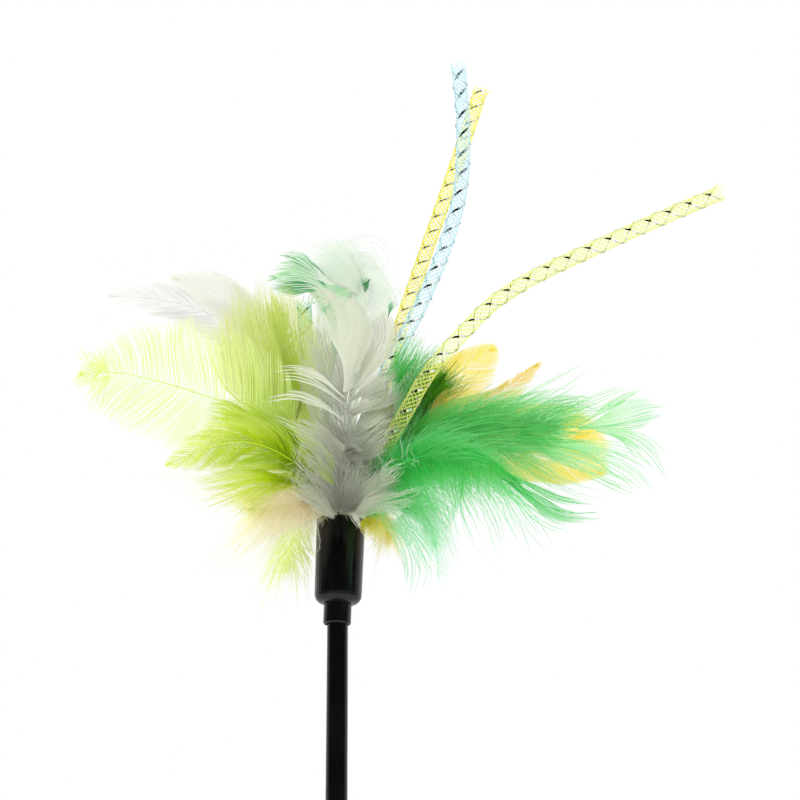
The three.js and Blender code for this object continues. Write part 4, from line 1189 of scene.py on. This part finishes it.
def thread_material():
    made, nodes = new_material("waxed_thread")
    wave = nodes.add("TexWave", bands_direction="DIAGONAL")
    twist = nodes.fill(wave, vector=nodes.scaled(nodes.map_place(), (6, 900, 1)), scale=1).outputs["Fac"]
    color = nodes.mix(twist, linear("#c9c3b4"), linear("#ece8dc"))
    bump = nodes.bump(twist, 0.5, 0.0001)
    nodes.finish(nodes.principled(base_color=color, roughness=0.7, sheen_weight=0.3, normal=bump))
    return made


# Pieces

# How far under the cup's highest corner its rim still counts
RIM_DEPTH = 0.01


def head_matrix():
    """Where the head sits: origin at the middle of the cup's rim, up along the head's joint."""
    up = Vector(frame["joints"][0]["axis"]).normalized()
    back = Vector(AWAY)
    across = back.cross(up).normalized()
    corners = [v.co for v in frame["nodes"]["head_cup"].data.vertices]
    top = max(c.dot(up) for c in corners)
    rim = [c for c in corners if c.dot(up) > top - RIM_DEPTH * MM]
    middle = [(min(c.dot(d) for c in rim) + max(c.dot(d) for c in rim)) / 2 for d in (across, back)]
    centre = across * middle[0] + back * middle[1] + up * top
    turn = Matrix((across, back, up)).transposed().to_4x4()
    return Matrix.Translation(centre) @ turn


def make_feather(name, row, seed, matrix):
    rng = np.random.default_rng(seed)
    blade = Blade(row)
    strands = Strands()
    for sign in (-1, 1):
        grow_barbs(rng, blade, strands, sign)
    grow_locks(rng, strands, LOCKS.get(name, ()))
    grow_down(rng, blade, strands, *row["down"])
    grow_shaft(blade, strands)
    colors = row["colors"]
    materials = [
        vane_material("vane_" + name, colors, row.get("through", THROUGH)),
        shaft_material("shaft_" + name, colors),
        down_material("down_" + name, colors),
    ]
    plume = strands.to_object("plume_" + name, materials, matrix)
    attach(plume, "head")
    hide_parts("feather_" + name)


# Where a strand's ends lie along a tube's map, where the foil threads and the root lie across it, and
# how wide they are there
STRAND_MAP = (0.01, 0.99)
FOIL_MAPS = (0.93, 0.97)
ROOT_MAP = 0.9
WIDE_MAP = 0.03

FILAMENT_SLOT, FOIL_SLOT = range(2)

# How unevenly a tube is made: the filaments' places in radians, and the foil's roll from step to step
FILAMENT_STRAY = 0.02
FOIL_UNEVEN = 0.05
FOIL_UNEVEN_STEP = 0.12

# How far a foil thread stands off its line, and where the quill at a tube's root ends, in mm
FOIL_OFF = 0.05
TUBE_QUILL_TOP_Z = 0.2


class Tube:
    """A mesh tube's line, with directions across it that turn as little as they can."""

    def __init__(self, row):
        self.turn = row["turn"]
        line = Line(row["root"], row["line"])
        self.crossings = FILAMENTS_EACH_WAY * 2
        self.steps = int(line.length / self.turn * self.crossings * STEPS_PER_CROSSING)
        share = np.linspace(0, 1, self.steps)
        self.places, along = line.at(share)
        side = np.empty_like(self.places)
        side[0] = unit(np.cross(along[0], TO_VIEWER))
        for k in range(1, self.steps):
            side[k] = unit(side[k - 1] - along[k] * np.dot(side[k - 1], along[k]))
        self.side, self.other = side, np.cross(along, side)
        self.reached = share * line.length
        full = MESH_TUBE_DIAMETER / 2 - FILAMENT_DIAMETER
        grown = smoothstep(self.reached, 0, MESH_TAPER_LENGTH)
        root = MESH_ROOT_DIAMETER / 2
        self.radius = root - FILAMENT_DIAMETER / 2 + (full - root) * grown

    def helix(self, start, way, lift, stray):
        """A line round the tube that rises over and dips under the ones that cross it."""
        angle = 2 * math.pi * (start + way * self.reached / self.turn) + stray
        over = self.radius + lift * way * np.cos(math.pi * self.reached / self.turn * self.crossings)
        round_tube = self.side * np.cos(angle)[:, None] + self.other * np.sin(angle)[:, None]
        return self.places + round_tube * over[:, None]


def fray(rng, middle, centre):
    """Loose ends past the last crossing, each going its own way."""
    count = middle.shape[0]
    last = middle[:, -1]
    heading = unit(last - middle[:, -3])
    out = unit(last - centre)
    lengths = rng.uniform(*FRAY_LENGTHS, count)
    lean = unit(heading + out * rng.uniform(-0.1, 0.5, (count, 1)) + rng.normal(0, 0.25, (count, 3)))
    q = np.linspace(0, 1, FRAY_STEPS + 1)[1:][None, :, None]
    return last[:, None] + (heading[:, None] * (1 - q) + lean[:, None] * q) * q * lengths[:, None, None]


def weave_filaments(rng, tube, strands, way):
    """The filaments that run one way round the tube."""
    order = np.arange(FILAMENTS_EACH_WAY)
    starts = (order + 0.5 * (way < 0)) / FILAMENTS_EACH_WAY
    stray = rng.normal(0, FILAMENT_STRAY, FILAMENTS_EACH_WAY)
    middle = np.stack([tube.helix(s, way, WEAVE_LIFT, w) for s, w in zip(starts, stray)])
    middle = np.concatenate([middle, fray(rng, middle, tube.places[-1])], 1)
    radii = np.full(middle.shape[:2], FILAMENT_DIAMETER / 2)
    width = 0.4 / FILAMENTS_EACH_WAY
    place = (0.25 + 0.25 * way) + width * (order + 0.5)
    strands.tubes(middle, radii, place, (width * 0.9, *STRAND_MAP), FILAMENT_SLOT, 3)


def lay_foil(rng, tube, strands, place, start, foil):
    """A metallic thread that winds round the tube and rolls as it goes, so it shows as dashes."""
    width, roll_share = foil
    middle = tube.helix(start, 1, FOIL_LIFT, 0)[None]
    run = unit(np.gradient(middle, axis=1))
    out = unit(middle - tube.places[None])
    flat = unit(np.cross(run, out))
    turned = 2 * math.pi * (start + tube.reached / tube.turn) + math.pi / 2
    uneven = FOIL_UNEVEN * np.cumsum(rng.normal(0, FOIL_UNEVEN_STEP, tube.steps))
    roll = (uneven - roll_share * turned)[None, :, None]
    flat = unit(flat * np.cos(roll) + out * np.sin(roll))
    widths = np.full((1, tube.steps), width)
    span = (WIDE_MAP, *STRAND_MAP)
    strands.ribbons(middle + out * FOIL_OFF, flat, widths, np.array([place]), span, FOIL_SLOT)


def make_braid(name, row, seed, matrix, foil):
    rng = np.random.default_rng(seed)
    tube = Tube(row)
    strands = Strands()
    for way in (-1, 1):
        weave_filaments(rng, tube, strands, way)
    for place, start in zip(FOIL_MAPS, row["foils"]):
        lay_foil(rng, tube, strands, place, start, row["foil"])
    quill = np.array([(*row["root"], z) for z in np.linspace(ROOT_END_Z, TUBE_QUILL_TOP_Z, 4)])[None]
    radii = np.full((1, 4), MESH_ROOT_DIAMETER / 2)
    strands.tubes(quill, radii, np.array([ROOT_MAP]), (WIDE_MAP, *STRAND_MAP), FILAMENT_SLOT, 10)
    materials = [filament_material("filament_" + name, row["colors"]), foil]
    braid = strands.to_object("braid_" + name, materials, matrix)
    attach(braid, "head")
    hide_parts("mesh_tube_" + name)


def make_binding(matrix):
    """Turns of waxed thread that hold the quills together above the glue."""
    half = BINDING_THREAD_DIAMETER / 2
    low, high = BINDING_FOOT_Z + half, BINDING_FOOT_Z + BINDING_HEIGHT - half
    t = np.linspace(0, 1, BINDING_STEPS)
    angle = 2 * math.pi * BINDING_TURNS * t
    radius = BINDING_OUTER_RADIUS - half
    middle = np.stack([radius * np.cos(angle), radius * np.sin(angle), low + (high - low) * t], 1)[None]
    strands = Strands()
    radii = np.full((1, BINDING_STEPS), half)
    strands.tubes(middle, radii, np.array([0.5]), (0.4, *STRAND_MAP), 0, 8)
    winding = strands.to_object("thread_winding", [thread_material()], matrix)
    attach(winding, "head")
    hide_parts("binding_thread")


def dress_cad_nodes():
    black = plastic_material("black_plastic", linear("#050506"), 0.2, 0.32, 1800, 0.00001)
    rubber = plastic_material("black_rubber", linear("#1a1a1a"), 0.6, 0.8, 3000, 0.00006)
    looks = {"rod": black, "head_cup": black, "butt_cap": rubber, "glue_plug": glue_material()}
    for node, material in looks.items():
        for slot in frame["nodes"][node].material_slots:
            slot.material = material


# Stage, lights and camera

def floor_material():
    """Pale paper near the object. Far from it the camera sees plain white, as it does above the floor."""
    made, nodes = new_material("pale_floor")
    place = nodes.object_place()
    paper = nodes.map_range(nodes.noise(place, 30, 3.0), 0.3, 0.7)
    color = nodes.mix(paper, linear("#ececea"), linear("#f0f0ee"))
    front = nodes.principled(base_color=color, roughness=0.85, specular_ior_level=0.2)
    far = nodes.add("VectorMath", operation="LENGTH")
    nodes.set(far.inputs[0], place)
    seen = nodes.add("LightPath").outputs["Is Camera Ray"]
    white = nodes.fill(nodes.add("Emission"), color=WHITE, strength=1).outputs[0]
    share = nodes.maths("MULTIPLY", nodes.map_range(far.outputs["Value"], *FLOOR_FADE), seen)
    nodes.finish(nodes.mix_shader(share, front, white))
    return made


def make_floor():
    mesh = bpy.data.meshes.new("floor")
    corners = [(x * FLOOR_HALF, y * FLOOR_HALF, 0) for x, y in ((-1, -1), (1, -1), (1, 1), (-1, 1))]
    mesh.from_pydata(corners, [], [(0, 1, 2, 3)])
    mesh.materials.append(floor_material())
    floor = bpy.data.objects.new("floor", mesh)
    bpy.context.scene.collection.objects.link(floor)


# The studio from front to back: where its light starts and stops to grow, and its strength there,
# once as it lights and once as it is mirrored
STUDIO_LIT = (-0.5, 0.35, 0.55, 1.0)
STUDIO_MIRRORED = (-0.1, 0.55, 0.0, 1.0)


def make_world():
    """White all round for the camera, and a studio that is white behind the object and dimmer in front."""
    world = bpy.data.worlds.new("studio")
    bpy.context.scene.world = world
    world.use_nodes = True
    nodes = Nodes(world.node_tree)
    depth = nodes.parts(nodes.add("TexCoord").outputs["Generated"])[1]
    rays = nodes.add("LightPath")
    lit = nodes.map_range(depth, *STUDIO_LIT)
    mirrored = nodes.map_range(depth, *STUDIO_MIRRORED)
    studio = nodes.mix(rays.outputs["Is Glossy Ray"], lit, mirrored, "FLOAT")
    seen = nodes.maths("MAXIMUM", rays.outputs["Is Camera Ray"], rays.outputs["Is Transmission Ray"])
    light = nodes.fill(nodes.add("Background"), color=WHITE, strength=nodes.maths("MAXIMUM", seen, studio))
    nodes.finish(light.outputs[0], "World")


def make_lamp(name, place, size, power):
    lamp = bpy.data.lights.new(name, "AREA")
    lamp.shape = "RECTANGLE"
    lamp.size, lamp.size_y = size
    lamp.energy = power
    made = bpy.data.objects.new(name, lamp)
    made.visible_glossy = False
    made.location = place
    made.rotation_euler = (Vector(LAMP_TARGET) - Vector(place)).to_track_quat("-Z", "Y").to_euler()
    bpy.context.scene.collection.objects.link(made)


def make_camera():
    pitch = math.radians(VIEW_PITCH_DEGREES)
    ahead = Vector((0, math.cos(pitch), math.sin(pitch)))
    camera = bpy.data.cameras.new("camera")
    camera.sensor_width = SENSOR_WIDTH
    camera.lens = SENSOR_WIDTH * FOCAL_PIXELS / PHOTO_SIDE
    made = bpy.data.objects.new("camera", camera)
    made.location = (Vector(VIEW_TARGET) - ahead * VIEW_DISTANCE) * MM
    made.rotation_euler = ahead.to_track_quat("-Z", "Y").to_euler()
    bpy.context.scene.collection.objects.link(made)
    bpy.context.scene.camera = made


def main():
    make_camera()
    make_world()
    make_floor()
    for name, row in LAMPS.items():
        make_lamp(name, **row)
    matrix = head_matrix()
    foil = foil_material()
    for seed, (name, row) in enumerate(FEATHERS.items(), FEATHER_SEED):
        make_feather(name, row, seed, matrix)
    for seed, (name, row) in enumerate(MESH_TUBES.items(), TUBE_SEED):
        make_braid(name, row, seed, matrix, foil)
    make_binding(matrix)
    dress_cad_nodes()


main()
bpy.context.scene.view_settings.view_transform = "Standard"
